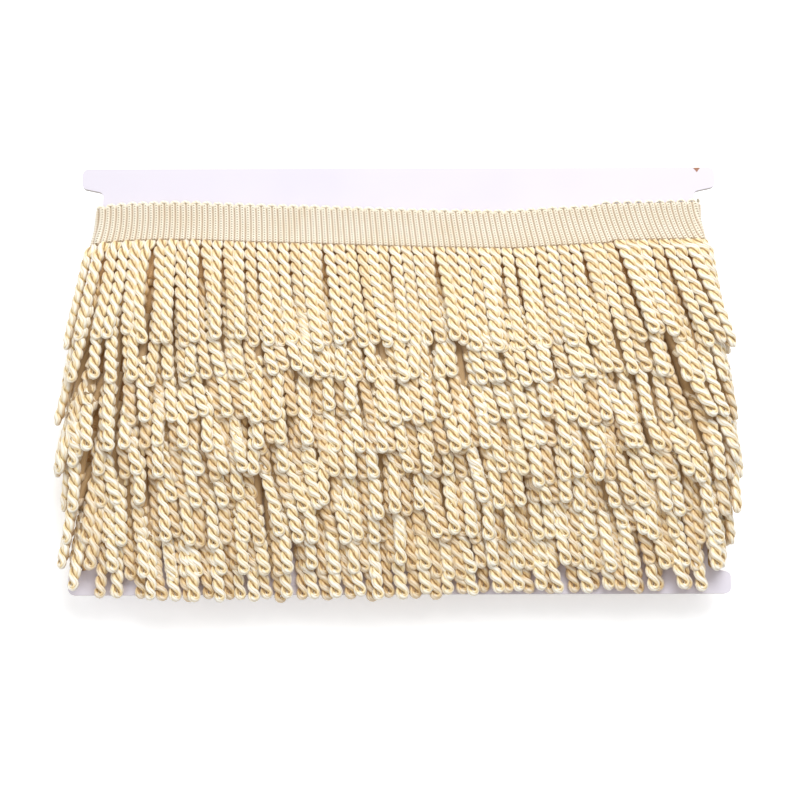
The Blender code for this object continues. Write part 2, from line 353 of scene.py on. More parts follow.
def make_piece(name: str, families: list[Tubes], finish: bpy.types.Material) -> bpy.types.Object:
    """Makes one piece of the object from families of tubes.

    Args:
        name: Name of the piece.
        families: Families of tubes.
        finish: Its material.

    Returns:
        The new object, which rides on the one body.
    """
    families = [family.outward() for family in families]
    firsts = np.cumsum([0] + [family.points[..., 0].size for family in families])
    made = [family.faces(int(first)) for family, first in zip(families, firsts)]
    corners = np.concatenate([faces[0] for faces in made])
    sizes = np.concatenate([faces[1] for faces in made])
    map_points = np.concatenate([faces[2] for faces in made])
    points = np.concatenate([family.points.reshape(-1, 3) for family in families])
    values = [family.vertex_values() for family in families]
    mesh = bpy.data.meshes.new(name)
    mesh.vertices.add(len(points))
    mesh.vertices.foreach_set("co", points.ravel().astype(np.float32))
    mesh.loops.add(len(corners))
    mesh.loops.foreach_set("vertex_index", corners.astype(np.int32))
    mesh.polygons.add(len(sizes))
    starts = np.concatenate([[0], np.cumsum(sizes)[:-1]])
    mesh.polygons.foreach_set("loop_start", starts.astype(np.int32))
    mesh.uv_layers.new(name=YARN_MAP).uv.foreach_set("vector", map_points.ravel().astype(np.float32))
    for label in (TONE, PAINTED_SHADE, FLANK):
        whole = np.concatenate([one[label] for one in values]).astype(np.float32)
        mesh.attributes.new(label, "FLOAT", "POINT").data.foreach_set("value", whole)
    mesh.update(calc_edges=True)
    mesh.validate()
    mesh.shade_smooth()
    mesh.materials.append(finish)
    piece = bpy.data.objects.new(name, mesh)
    bpy.context.scene.collection.objects.link(piece)
    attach(piece, BODY)
    log.info("%s: %d triangles", name, int(np.sum(sizes - 2)))
    return piece


class Sway(NamedTuple):
    """How the top pass departs from a straight band, at a way round the card. All in metres."""

    way: float
    rise: float
    slant: float
    loop_rise: float


TOP_PASS_SWAY = (
    Sway(0 * MM, -1.0 * MM, 1.7 * MM, 1.0 * MM),
    Sway(8 * MM, 0.4 * MM, 1.7 * MM, 1.0 * MM),
    Sway(18 * MM, 1.3 * MM, 1.5 * MM, 1.0 * MM),
    Sway(32 * MM, 1.8 * MM, 1.3 * MM, 1.0 * MM),
    Sway(46 * MM, 1.7 * MM, 1.2 * MM, 1.0 * MM),
    Sway(74 * MM, 0.4 * MM, 1.2 * MM, 1.0 * MM),
    Sway(102 * MM, -0.4 * MM, 1.4 * MM, 1.0 * MM),
    Sway(130 * MM, -1.5 * MM, 1.7 * MM, 1.0 * MM),
    Sway(158 * MM, -2.4 * MM, 2.3 * MM, 1.0 * MM),
    Sway(192 * MM, -3.0 * MM, 3.0 * MM, 1.1 * MM),
    Sway(213 * MM, -1.6 * MM, 3.5 * MM, 1.2 * MM),
    Sway(234 * MM, -0.5 * MM, 4.0 * MM, 1.3 * MM),
    Sway(237 * MM, 0.8 * MM, 4.1 * MM, 2.1 * MM),
    Sway(262 * MM, 1.3 * MM, 3.6 * MM, 2.1 * MM),
    Sway(283 * MM, 1.9 * MM, 2.0 * MM, 1.9 * MM),
    Sway(291 * MM, 1.2 * MM, 0.6 * MM, 1.2 * MM),
    Sway(330 * MM, 0.0 * MM, 0.0 * MM, 1.0 * MM),
)
LEVEL_SWAY = (Sway(0.0, 0.0, 0.0, 1.0 * MM),)


def sway_at(table: tuple[Sway, ...], way: Array) -> Sway:
    """The sway at any ways, straight between a table's rows.

    Args:
        table: Rows in order of way.
        way: Ways round the card.

    Returns:
        The sway there, each field an array.
    """
    ways, rises, slants, loop_rises = np.array(table).T
    rise, slant = np.interp(way, ways, rises), np.interp(way, ways, slants)
    return Sway(way, rise, slant, np.interp(way, ways, loop_rises))


@dataclass(frozen=True)
class Knit:
    """The sizes of the knitted heading: upright ribs of stitches, and a loop for each strand on top.

    A loop's height over its foot, and the foot's place below the edge, are shares of the loops' own rise.
    Its lean outwards is a share of a rib's rise.
    """

    depth: float = 18.6 * MM
    packed_depth: float = 16.8 * MM
    rib_pitch: float = 2.515 * MM
    rib_rise: float = 0.95 * MM
    rib_uneven: float = 0.1
    uneven_turn: float = 2.4
    uneven_run: float = 2.6 * MM
    base: float = 0.8 * MM
    stitch: float = 1.2 * MM
    border_share: float = 0.7
    border_reach: float = 1.2 * MM
    loop_radius: float = 0.72 * MM
    loop_sides: int = 6
    loop_steps: int = 8
    loop_uneven: float = 0.25
    loop_beats: tuple[float, float] = (7.3, 2.1)
    loop_height: float = 1.5
    loop_foot: float = 1.0
    loop_lean: float = 0.25
    loop_map: float = 1.6

    def relief(self, way: Array, drop: Array) -> Array:
        """The height of the knit over its inner side.

        Formula: across a rib it is half an ellipse, whose height swells and sinks a little along a rib and
        from rib to rib.

        Args:
            way: Ways along the heading.
            drop: Drops below its upper edge.

        Returns:
            The heights.
        """
        part = np.mod(way / self.rib_pitch, 1.0) - 0.5
        ridge = np.sqrt(np.maximum(1.0 - 4.0 * part**2, 0.0))
        uneven = np.sin(self.uneven_turn * np.floor(way / self.rib_pitch) + drop / self.uneven_run)
        return self.base + self.rib_rise * ridge * (1.0 + self.rib_uneven * uneven)


@dataclass
class Heading:
    """The knitted heading of one or more passes, as one closed band with its relief on the outer side."""

    name: str
    first_pass: int
    last_pass: int
    winding: Winding
    knit: Knit
    columns: int
    rows: int
    sway: tuple[Sway, ...] = LEVEL_SWAY

    def ways(self, number: int) -> Array:
        """The ways of a pass's columns, evenly spaced so that each rib has as many.

        Args:
            number: Number of the pass.

        Returns:
            Ways round the card, from its start to the end of the pass.
        """
        step = self.knit.rib_pitch / self.columns
        whole = 2 * self.winding.half_round
        end = self.winding.tail_end if number == self.winding.passes else whole
        return step * np.arange(int(end / step) + 1)

    def grid(self, number: int) -> tuple[Array, Array]:
        """The points and map of a pass.

        Formula: the profile goes down the outer side in even steps, back up the inner side in three, and
        is carried along the ways. The outer side stands off its seat by the knit's relief, which is lower
        at its borders.

        Args:
            number: Number of the pass.

        Returns:
            Points and map, indexed by column and profile point.
        """
        knit, winding = self.knit, self.winding
        way = self.ways(number)[:, None]
        outer = np.linspace(0.0, knit.depth, self.rows)
        drop = np.concatenate([outer, [knit.depth, knit.depth / 2, 0.0]])[None, :]
        is_outer = np.arange(drop.size)[None, :] < self.rows
        sway = sway_at(self.sway, way)
        side, across, turn = winding.locate(number, way)
        height = winding.top(turn) + sway.rise - drop
        seat = winding.seat(turn, height)
        from_border = np.minimum(drop, knit.depth - drop)
        ends = np.minimum(1.0, knit.border_share + from_border / knit.border_reach)
        out = np.where(is_outer, knit.relief(way, drop) * ends, 0.0)
        shifted = winding.fan(across + sway.slant * drop / knit.depth, seat + knit.base)
        points = winding.place(side, shifted, height, seat, out)
        closed = np.concatenate([drop, drop[:, :1]], axis=1)
        uv = np.stack(np.broadcast_arrays(way / MM, closed / MM), axis=-1)
        return points, uv

    def shade_depth(self, number: int) -> Array:
        """Where a pass lies under others, which gives it painted shade.

        Formula: the last pass is open all the way, the one before it is covered as far as the last one's
        tail, and the others are covered all the way.

        Args:
            number: Number of the pass.

        Returns:
            1 where it is covered and 0 where it is open, indexed by column.
        """
        covered_to = math.inf
        if number == self.winding.passes:
            covered_to = 0.0
        elif number == self.winding.passes - 1:
            covered_to = self.winding.tail_end
        return np.where(self.ways(number) < covered_to, 1.0, 0.0)[:, None]

    def edge_loops(self, number: int) -> Tubes:
        """The yarn that makes the loops along the upper edge of a pass.

        Formula: one tube follows the edge. Its middle rises from each loop's foot by the loop's height
        times the square root of the sine of the share of each loop, and leans out in the middle of each.

        Args:
            number: Number of the pass.

        Returns:
            The tube.
        """
        knit, winding = self.knit, self.winding
        pitch = 2 * knit.rib_pitch
        count = int(self.ways(number)[-1] / pitch)
        way = (pitch / knit.loop_steps * np.arange(count * knit.loop_steps + 1))[:, None]
        share = np.mod(way / pitch, 1.0)
        arch = np.sqrt(np.sin(math.pi * share))
        sway = sway_at(self.sway, way)
        side, across, turn = winding.locate(number, way)
        angle = np.linspace(-math.pi, math.pi, knit.loop_sides, endpoint=False)[None, :]
        fast, slow = knit.loop_beats
        uneven = 1.0 + knit.loop_uneven * np.sin(fast * way / pitch) * np.sin(slow * way / pitch)
        rise = sway.rise + sway.loop_rise * uneven * (knit.loop_height * arch - knit.loop_foot)
        height = winding.top(turn) + rise + knit.loop_radius * np.sin(angle)
        seat = winding.seat(turn, winding.top(turn) + rise)
        out = knit.base + knit.loop_lean * knit.rib_rise * arch + knit.loop_radius * np.cos(angle)
        points = winding.place(side, winding.fan(across, seat + knit.base), height, seat, out)
        around = np.linspace(0.0, 1.0, knit.loop_sides + 1)[None, :]
        uv = np.stack(np.broadcast_arrays(around, way / MM * knit.loop_map), axis=-1)
        return Tubes(points[None], uv[None], np.zeros(1), OPEN, PLAIN_FLANK)

    def build(self, finish: bpy.types.Material, loop_finish: bpy.types.Material | None) -> bpy.types.Object:
        """Builds the band, and its edge loops where it shows.

        Args:
            finish: Material of the knit.
            loop_finish: Material of the loops, or None where they are hidden.

        Returns:
            The band's object.
        """
        numbers = range(self.first_pass, self.last_pass + 1)
        grids = [self.grid(number) for number in numbers]
        points = np.concatenate([grid[0] for grid in grids])
        uv = np.concatenate([grid[1] for grid in grids])
        # Painted shade where other passes cover the band
        shade_depth = np.concatenate([self.shade_depth(number) for number in numbers])
        band = Tubes(points[None], uv[None], np.zeros(1), shade_depth[None], PLAIN_FLANK)
        piece = make_piece(self.name, [band], finish)
        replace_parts(piece, *(f"heading_{number}" for number in numbers))
        if loop_finish is not None:
            loops = self.edge_loops(self.last_pass)
            make_piece(f"{self.name}_loops", [loops], loop_finish)
        return piece


@dataclass(frozen=True)
class BullionCord:
    """The sizes of one bullion strand: a yarn cord doubled back on itself and twisted into two plies.

    The plies swell where they lie side by side and draw in where they cross, so that a strand looks like a
    row of beads. Towards the loop at the end they become even and thinner. The core's shares are of a
    ply's radius, and the lifts and the rod's share of the whole strand's. A reach is a length over which
    something changes.
    """

    ply: float = 1.5 * MM
    swell: float = 0.24
    core_share: float = 0.7
    lay_flat: float = 0.3
    half_twist: float = 5.45 * MM
    least_half_turns: float = 2.0
    root_phase: float = 1.8
    loop_ply: float = 1.42 * MM
    loop_core_share: float = 0.8
    loop_radius: float = 1.55 * MM
    loop_stretch: float = 1.2
    loop_run: float = 2.2 * MM
    loop_slowing: float = 0.3
    loop_angles: tuple[int, ...] = (0, 30, 60, 90, 120, 150, 180)
    firm_run: float = 6.5 * MM
    root_taper: float = 0.22
    root_reach: float = 1.5 * MM
    root_lift: float = 0.3
    emerging_reach: float = 6.0 * MM
    least_lift: float = 0.5
    lean_power: float = 1.2
    press_lead: float = 3.0 * MM
    press_reach: float = 7.0 * MM
    # Reaches and shares of the painted shade on a strand: where the next pass covers it, on its inner side,
    # less on its crest
    cover_reach: float = 6.0 * MM
    inner_steepness: float = 1.6
    crest_share: float = 0.5
    fine_run: float = 20.0 * MM
    end_run: float = 31.0 * MM
    rod_sides: int = 6
    rod_step: float = 5.0 * MM
    rod_share: float = 0.85
    rod_map: float = 8.0

    @property
    def radius(self) -> float:
        """The strand's own radius, out to the plies' outer sides."""
        return self.ply * (1 + self.core_share)

    @property
    def loop_centre(self) -> float:
        """How far up from the tip the middle of the loop lies."""
        return self.loop_radius * self.loop_stretch


def square_rings(lines: Array, outwards: Array, sides: int) -> Array:
    """Circles of unit radius that lie square to lines.

    Formula: the first direction is the part of the outward one that is square to the line's gradient, and
    the second is their cross product. The points go round from the side opposite the first.

    Args:
        lines: Points along lines, indexed by line and point.
        outwards: The outward direction at each point.
        sides: Number of sides of a circle.

    Returns:
        The circles' points about their middles, indexed by line, point and side.
    """
    tangent = np.gradient(lines, axis=1)
    tangent /= np.linalg.norm(tangent, axis=-1, keepdims=True)
    first = outwards - np.sum(outwards * tangent, axis=-1, keepdims=True) * tangent
    first /= np.linalg.norm(first, axis=-1, keepdims=True)
    second = np.cross(tangent, first)
    around = np.linspace(-math.pi, math.pi, sides, endpoint=False)
    return np.cos(around)[:, None] * first[:, :, None] + np.sin(around)[:, None] * second[:, :, None]


class Lean(NamedTuple):
    """How strands lean at a place across a face, besides fanning out to the edges."""

    across: float
    degrees: float


FRONT_LEAN = (
    Lean(-146 * MM, -2.0),
    Lean(-132 * MM, 0.0),
    Lean(-118 * MM, 4.5),
    Lean(-102 * MM, 7.0),
    Lean(0 * MM, 6.5),
    Lean(60 * MM, 7.0),
    Lean(102 * MM, 6.0),
    Lean(146 * MM, 2.0),
)
BACK_LEAN = (
    Lean(-146 * MM, 0.0),
    Lean(-100 * MM, 4.0),
    Lean(100 * MM, 4.0),
    Lean(146 * MM, 0.0),
)


@dataclass
class Strands:
    """The strands of a pass that belong to one face. Fields from across to under are arrays over them."""

    winding: Winding
    cord: BullionCord
    side: float
    across: Array
    turn: Array
    root: Array
    length: Array
    lean: Array
    bend: Array
    lift: Array
    width: Array
    half_twist: Array
    tip_phase: Array
    tone: Array
    # painted shade of each strand for lying under its neighbours
    under: Array
    # how strongly painted shade falls where the next pass covers the strand
    shaded: float
    exposed: float
    covered_press: float
    lift_limit: float

    def course(self, distance: Array) -> tuple[Array, Array, Array]:
        """The middle line of each strand.

        Formula: it hangs straight down from its root, leaning by its angle times a power of the share
        hung, and bending by half a sine wave. It lies on the layers under it by its own radius, less at
        the root, where it comes out from under the heading, and less where the next pass presses on it.

        Args:
            distance: Distances back from the tip, indexed by strand first.

        Returns:
            Places across the face, heights and lifts.
        """
        cord = self.cord
        spare = (slice(None),) + (None,) * (distance.ndim - 1)
        length, lean = self.length[spare], self.lean[spare]
        hung = 1.0 - distance / length
        share = np.maximum(hung, 0.0)
        across = self.across[spare] + length * np.sin(lean) * share**cord.lean_power
        across = across + self.bend[spare] * np.sin(math.pi * np.minimum(share, 1.0))
        height = self.root[spare] - length * np.cos(lean) * hung
        seat = self.winding.seat(self.turn[spare], height)
        out_of_heading = smooth_step(hung * length / cord.emerging_reach)
        emerged = cord.root_lift + (1.0 - cord.root_lift) * out_of_heading
        pressed = smooth_step((distance - self.exposed + cord.press_lead) / cord.press_reach)
        lift = seat + cord.radius * self.width[spare] * emerged + self.lift[spare] * share
        lift = np.minimum(lift, self.lift_limit) - self.covered_press * pressed * emerged
        lift = np.maximum(lift, self.winding.clearance + cord.least_lift * cord.radius)
        return self.winding.fan(across, lift), height, lift

    def ring_distances(self, detail: Detail, run: Run) -> Array:
        """Distances from the tip at which one ply of each strand has rings, from its start to its loop.

        Args:
            detail: How finely they are modelled.
            run: How much of them is modelled.

        Returns:
            Distances indexed by strand and ring.
        """
        fineness, whole = detail.value, self.length
        start = np.full(whole.shape, self.cord.end_run) if run is Run.END else whole
        visible = whole if run is Run.WHOLE else np.full(whole.shape, self.cord.fine_run)
        loop_start = self.cord.loop_centre + self.cord.loop_run
        fine_count = int(round((float(np.max(visible)) - loop_start) / fineness.fine))
        fine_part = np.linspace(visible, np.full(visible.shape, loop_start), fine_count, axis=1)
        coarse_count = int(round(float(np.max(start - visible)) / fineness.coarse))
        coarse_part = np.linspace(start, visible, coarse_count, endpoint=False, axis=1)
        return np.concatenate([coarse_part, fine_part], axis=1)

    def rods(self) -> Tubes:
        """Plain rods in place of the twisted plies where other passes hide the strands, up to their roots.

        Returns:
            The rods' tubes.
        """
        cord = self.cord
        lower = cord.end_run - cord.rod_step
        count = int(round((float(np.max(self.length)) - lower) / cord.rod_step)) + 1
        distance = np.linspace(self.length, np.full(self.length.shape, lower), count, axis=1)
        around = np.linspace(-math.pi, math.pi, cord.rod_sides, endpoint=False)
        radius = cord.rod_share * cord.radius * self.width[:, None, None]
        back = distance[..., None]
        local = np.broadcast_arrays(radius * np.cos(around), radius * np.sin(around), -back)
        way_round = np.linspace(0.0, 1.0, cord.rod_sides + 1)
        uv = np.broadcast_arrays(way_round, -cord.rod_map * back / MM)
        points = self.carry(np.stack(local, axis=-1))
        # The rods are painted deep in shade
        return Tubes(points, np.stack(uv, axis=-1), self.tone, RODS_IN_SHADE, PLAIN_FLANK)

    def path(self, detail: Detail, run: Run) -> tuple[Array, Array]:
        """The way of each strand's yarn: down as one ply, round the loop and back up as the other ply.

        Args:
            detail: How finely they are modelled.
            run: How much of them is modelled.

        Returns:
            Distances from the tip, indexed by strand and ring, and the angle turned at each ring.
        """
        cord = self.cord
        descent = self.ring_distances(detail, run)
        strands, straight = descent.shape[0], descent.shape[1] + 1
        angles = np.radians(cord.loop_angles)
        half_run = np.full((strands, 1), cord.loop_centre + cord.loop_run / 2)
        loop = np.broadcast_to(cord.loop_centre * (1.0 - np.sin(angles)), (strands, len(angles)))
        distance = np.concatenate([descent, half_run, loop, half_run, descent[:, ::-1]], axis=1)
        turned = np.concatenate([np.zeros(straight), angles, np.full(straight, math.pi)])
        return distance, turned[None, :]

    def phase(self, distance: Array) -> Array:
        """The angle of the plies about the middle line.

        Formula: half a turn to each half twist, so that a ply goes down to the right as seen from outside,
        and slower within the loop. The plies stay side by side for longer and cross fast, as the phase
        lags by a share of the sine of twice itself.

        Args:
            distance: Distances from the tip, indexed by strand and ring.

        Returns:
            The angles.
        """
        cord = self.cord
        from_loop = distance - cord.loop_centre
        slowed = np.where(from_loop > 0.0, from_loop, cord.loop_slowing * from_loop)
        even = self.tip_phase[:, None] + math.pi * slowed / self.half_twist[:, None]
        return even - cord.lay_flat * np.sin(2 * even)

    def depth(self, distance: Array, out: Array) -> Array:
        """How deep points lie in painted shade between other strands.

        Formula: a point takes painted shade where it lies on the strand's inner side, where the next pass
        covers the strand, or where the strand lies under its neighbours, and the last two less so on its
        crest.

        Args:
            distance: The rings' distances from the tip.
            out: How far out from the middle line the points lie, as a share of the strand's thickness.

        Returns:
            The depths of the painted shade.
        """
        cord = self.cord
        # Painted shade on the inner side, where the next pass covers the strand and where it lies under its
        # neighbours
        inside = smooth_step(-cord.inner_steepness * out)
        covered = self.shaded * smooth_step((distance - self.exposed) / cord.cover_reach)
        crest = cord.crest_share * smooth_step(out)
        return np.maximum(inside, np.maximum(covered, self.under[:, None])[..., None] * (1.0 - crest))

    def tubes(self, detail: Detail, run: Run) -> Tubes:
        """The strands' tubes. Each goes down as one ply, round the loop and back up as the other ply.

        Formula: a ply runs round the middle line at the core radius, and swells and draws in by the cosine
        of twice the phase. Near the tip the run widens into the loop, an ellipse in the plane of the
        plies. A ring is a circle square to the ply's own direction.

        Args:
            detail: How finely they are modelled.
            run: How much of them is modelled.

        Returns:
            The tubes.
        """
        cord, sides = self.cord, detail.value.sides
        distance, turned = self.path(detail, run)
        hung = np.maximum(self.length[:, None] - distance, 0.0)
        scale = self.width[:, None] * (1.0 - cord.root_taper * np.exp(-hung / cord.root_reach))
        firm = smooth_step((distance - cord.loop_centre) / cord.firm_run)
        even = scale * (cord.loop_ply + (cord.ply - cord.loop_ply) * firm)
        core = even * (cord.loop_core_share + (cord.core_share - cord.loop_core_share) * firm)
        opening = 1.0 - smooth_step((distance - cord.loop_centre) / cord.loop_run)
        radius = core + (cord.loop_radius - core) * opening
        phase = self.phase(distance)
        ply = even * (1.0 + cord.swell * firm * np.cos(2 * phase))
        away = np.stack([np.cos(phase), np.sin(phase), np.zeros_like(phase)], axis=-1)
        down = np.array([0.0, 0.0, 1.0])
        middle = away * (radius * np.cos(turned))[..., None] - distance[..., None] * down
        outwards = away * np.cos(turned)[..., None] + down * np.sin(turned)[..., None]
        local = middle[:, :, None] + ply[..., None, None] * square_rings(middle, outwards, sides)
        thickness = radius * (1.0 - opening) + even
        # Painted shade of each point
        shade_depth = self.depth(distance, local[..., 1] / thickness[..., None])
        steps = np.linalg.norm(np.diff(middle, axis=1), axis=-1)
        along = np.concatenate([np.zeros((len(steps), 1)), np.cumsum(steps, axis=1)], axis=1) / MM
        way_round = np.linspace(0.0, 1.0, sides + 1)
        uv = np.stack(np.broadcast_arrays(way_round, along[..., None]), axis=-1)
        # Flank round each ply, by which the yarn's finish paints shade on its sides and crease
        on_ply = (way_round[:-1] - 0.5) * np.cos(turned)[..., None]
        flank = on_ply + PLAIN_FLANK * np.sin(turned)[..., None]
        return Tubes(self.carry(local), uv, self.tone, shade_depth, flank)

    def carry(self, local: Array) -> Array:
        """Carries points beside straight strands to where the strands hang on the card.

        Formula: a point keeps its distances to the side of and out from the middle line at its own
        distance from the tip. The side direction is square to the line's slant there.

        Args:
            local: Points as (to the side, out, minus the distance from the tip).

        Returns:
            The points in the scene.
        """
        distance = -local[..., 2]
        across, height, lift = self.course(distance)
        reach = 0.4 * MM
        above = self.course(distance + reach)
        below = self.course(distance - reach)
        slant = np.arctan2(below[0] - above[0], above[1] - below[1])
        across = across + local[..., 0] * np.cos(slant)
        height = height + local[..., 0] * np.sin(slant)
        return self.winding.place(self.side, across, height, lift, local[..., 1])


class Clumps(NamedTuple):
    """What each strand takes from its clump: its lean, more length, more lift and a draw to the middle."""

    lean: Array
    longer: Array
    lift: Array
    gather: Array


class PassShape(NamedTuple):
    """How a pass's fringe hangs: how deep the trim is there, how far its strands stand out from the card's
    left and right edges at their tips besides their layers, and how much shorter it is on the right and in
    the left corner."""

    fall: float
    left_flare: float
    right_flare: float
    right_shorter: float
    corner_shorter: float = 0.0


@dataclass(frozen=True)
class Chance:
    """How far strands and clumps depart by chance: ranges where named so, else standard deviations."""

    length: float = 1.0 * MM
    lean_degrees: float = 0.8
    bend: float = 0.9 * MM
    lift: float = 0.3 * MM
    width: float = 0.05
    width_range: tuple[float, float] = (0.88, 1.1)
    phase: float = 0.3
    twist: float = 0.035
    end_range: float = 2.2 * MM
    clump_range: tuple[int, int] = (3, 6)
    clump_lean_degrees: float = 2.6
    clump_longer: float = 1.2 * MM
    clump_lift: float = 0.5 * MM
    gather_range: float = 0.12


@dataclass
class FringePass:
    """The fringe of one pass: its strands on both faces, and the strip that carries their roots."""

    number: int
    winding: Winding
    knit: Knit
    cord: BullionCord
    shape: PassShape
    sway: tuple[Sway, ...] = LEVEL_SWAY
    chance: Chance = Chance()
    strand_pitch: float = 5.03 * MM
    strip: float = 3.0 * MM
    strip_under: float = 2.0 * MM
    strip_ends: tuple[float, float] = (2.0 * MM, 1.0 * MM)
    strip_share: float = 0.4
    strip_rows: int = 3
    root_under: float = 0.2 * MM
    flare_start: float = 14.4 * MM
    flare_reach: float = 16.0 * MM
    corner_reach: float = 30.0 * MM
    drift_lean: float = 6.0
    drift_longer: float = 2.0 * MM
    drift_lengths: tuple[float, ...] = (38.0 * MM, 70.0 * MM, 150.0 * MM)
    settled_passes: int = 2
    bottom_lean: float = 0.25
    top_lean: float = 0.5
    strand_lift: float = 0.1 * MM
    clump_lift: float = 0.4 * MM
    stack_share: float = 0.75
    stack_limit: float = 2.2 * MM
    sink: float = 1.7 * MM
    sink_share: float = 0.62
    # Painted shade for strands under their neighbours and for parts that the next pass covers, less at the
    # lit sides
    under_shade_reach: float = 2.4 * MM
    under_shade_share: float = 0.8
    settled_under_shade: float = 0.5
    side_light: float = 0.6
    covered_shade: float = 1.35
    overhang: float = 2.6 * MM
    right_rise: float = 3.6 * MM
    rise_reach: float = 40.0 * MM
    back_short: float = 4.5 * MM
    edge_margin: float = 2.0 * MM
    lug_gap: float = 1.0 * MM
    press_front: float = 1.1 * MM
    press_back: float = 2.1 * MM
    rng: np.random.Generator = field(init=False)

    def __post_init__(self) -> None:
        """Seeds the pass's own chance by its number."""
        self.rng = np.random.default_rng(SEED + self.number)

    @property
    def end(self) -> float:
        """The way at which the pass ends."""
        last = self.number == self.winding.passes
        return self.winding.tail_end if last else 2 * self.winding.half_round

    @property
    def settled(self) -> bool:
        """Whether this is one of the outer passes, whose strands lie over each other less."""
        return self.number > self.winding.passes - self.settled_passes

    @property
    def lean_share(self) -> float:
        """The share of the clumps' lean that this pass takes.

        Returns:
            The share, less in the lowest passes and in the top one.
        """
        if self.number <= self.settled_passes:
            return self.bottom_lean
        return self.top_lean if self.number == self.winding.passes else 1.0

    @property
    def exposed(self) -> float:
        """How far up from the tips strands lie free of the next pass.

        Returns:
            The length of two passes' steps, or no limit for the first pass and the last.
        """
        if self.number in (1, self.winding.passes):
            return math.inf
        return self.winding.tops[self.number] - self.winding.tops[self.number - 2]

    def clumps(self, across: Array) -> Clumps:
        """Gathers neighbouring strands into clumps of a few that hang alike.

        Formula: besides what chance gives each clump, the lean and the length drift along the pass as the
        mean of three sine waves with chance phases.

        Args:
            across: The strands' places across the face.

        Returns:
            The clumps' share in each strand's hang.
        """
        rng, chance, count = self.rng, self.chance, len(across)
        fewest, most = chance.clump_range
        clump = np.repeat(np.arange(count), rng.integers(fewest, most + 1, count))[:count]
        middles = np.bincount(clump, across, count) / np.maximum(np.bincount(clump, minlength=count), 1)
        drifts = []
        for _ in range(2):
            waves = np.array(self.drift_lengths)[:, None]
            phases = rng.uniform(0.0, 2 * math.pi, waves.shape)
            drifts.append(np.sin(2 * math.pi * across / waves + phases).sum(axis=0) / len(waves))
        degrees = rng.normal(0.0, chance.clump_lean_degrees, count)[clump] + self.drift_lean * drifts[0]
        longer = rng.normal(0.0, chance.clump_longer, count)[clump] + self.drift_longer * drifts[1]
        lift = rng.normal(self.clump_lift, chance.clump_lift, count)[clump]
        gather = rng.uniform(0.0, chance.gather_range, count)[clump] * (middles[clump] - across)
        return Clumps(np.radians(degrees) * self.lean_share, longer, lift, gather)

    def stack(self, tips: Array) -> Array:
        """How far every other strand lifts where it runs into its neighbours, so that it lies over them.

        Formula: two strands whose tips are closer than a pitch lie on each other like two round bars, the
        root of the pitch squared less the tips' distance squared apart in height, less a share for their
        softness.

        Args:
            tips: The tips' places across the face.

        Returns:
            The lifts of the strands.
        """
        apart = np.clip(np.diff(tips), 0.0, self.strand_pitch)
        rise = np.minimum(self.stack_share * np.sqrt(self.strand_pitch**2 - apart**2), self.stack_limit)
        highest = np.maximum(np.append(rise, 0.0), np.insert(rise, 0, 0.0))
        return highest * (np.arange(len(tips)) % 2)

    def under(self, lift: Array) -> Array:
        """Painted shade for lying under a higher neighbour, from 0 to the share for a whole strand.

        Formula: the neighbour's lift less its own, over the reach, eased and times the share.

        Args:
            lift: The strands' lifts, in order across the face.

        Returns:
            The shares.
        """
        beside = np.maximum(np.append(lift[1:], lift[-1:]), np.insert(lift[:-1], 0, lift[:1]))
        return self.under_shade_share * smooth_step((beside - lift) / self.under_shade_reach)

    def flare(self, face: Face, across: Array) -> Array:
        """How far strands stand out from the card's edges at their tips.

        Formula: the pass's flare on that side times a share that eases in from the flare's start before
        the edge, over its reach.

        Args:
            face: The face that the strands belong to.
            across: Their places across the face.

        Returns:
            The distances.
        """
        to_left, to_right = self.shape.left_flare, self.shape.right_flare
        on_side = np.where(across * face.value < 0.0, to_left, to_right)
        past_start = np.abs(across) - self.winding.body_width / 2 + self.flare_start
        return on_side * smooth_step(past_start / self.flare_reach)

    def wanted_length(self, across: Array) -> Array:
        """The length of the strands by the pass's shape.

        Formula: its fall below the heading, less what eases in from the left edge to the right one and
        what eases in over the corner's reach up to the left edge. The roots start under the heading.

        Args:
            across: The strands' places across the face.

        Returns:
            The lengths from root to tip.
        """
        half = self.winding.half_round / 2
        to_right = smooth_step(0.5 + across / self.winding.body_width)
        to_corner = smooth_step(1.0 - (half + across) / self.corner_reach)
        shorter = self.shape.right_shorter * to_right + self.shape.corner_shorter * to_corner
        return self.shape.fall - shorter - self.knit.depth + self.root_under

    def lowest(self, face: Face, across: Array, turn: Array) -> Array:
        """The lowest heights that tips may reach.

        Formula: tips end past the card's lower end by the overhang, which shrinks to the right, or above
        it on the back, and a chance way higher. Strands that lie low on the card's edges end above its
        lugs, into which they would run.

        Args:
            face: The face that the strands belong to.
            across: Their places across the face.
            turn: Their counts of the winding.

        Returns:
            The heights.
        """
        winding = self.winding
        card_end = -winding.card_height / 2
        front_overhang = self.overhang - self.right_rise * smooth_step(across / self.rise_reach)
        overhang = front_overhang if face is Face.FRONT else -self.back_short
        free = card_end - overhang + self.rng.uniform(0.0, self.chance.end_range, len(across))
        on_edge = np.abs(across) > winding.body_width / 2 - self.edge_margin
        low_seat = winding.seat(turn, card_end + winding.lug_depth) < winding.notch_depth
        return np.where(on_edge & low_seat, card_end + winding.lug_depth + self.lug_gap, free)

    def twist(self, length: Array) -> tuple[Array, Array]:
        """How strands are twisted.

        Formula: a strand's half twist is the cord's, changed a little so that the plies come out of the
        heading near the cord's root phase, whatever the phase at the tip.

        Args:
            length: The strands' lengths.

        Returns:
            The phases at the tips, and the lengths of half a twist.
        """
        cord, rng, count = self.cord, self.rng, len(length)
        tip_phase = rng.normal(0.0, self.chance.phase, count)
        root_phase = cord.root_phase + rng.normal(0.0, self.chance.phase, count)
        wanted = length / (cord.half_twist * rng.normal(1.0, self.chance.twist, count))
        offset = (root_phase - tip_phase) / math.pi
        half_turns = np.maximum(np.round(wanted - offset) + offset, cord.least_half_turns)
        return tip_phase, length / half_turns

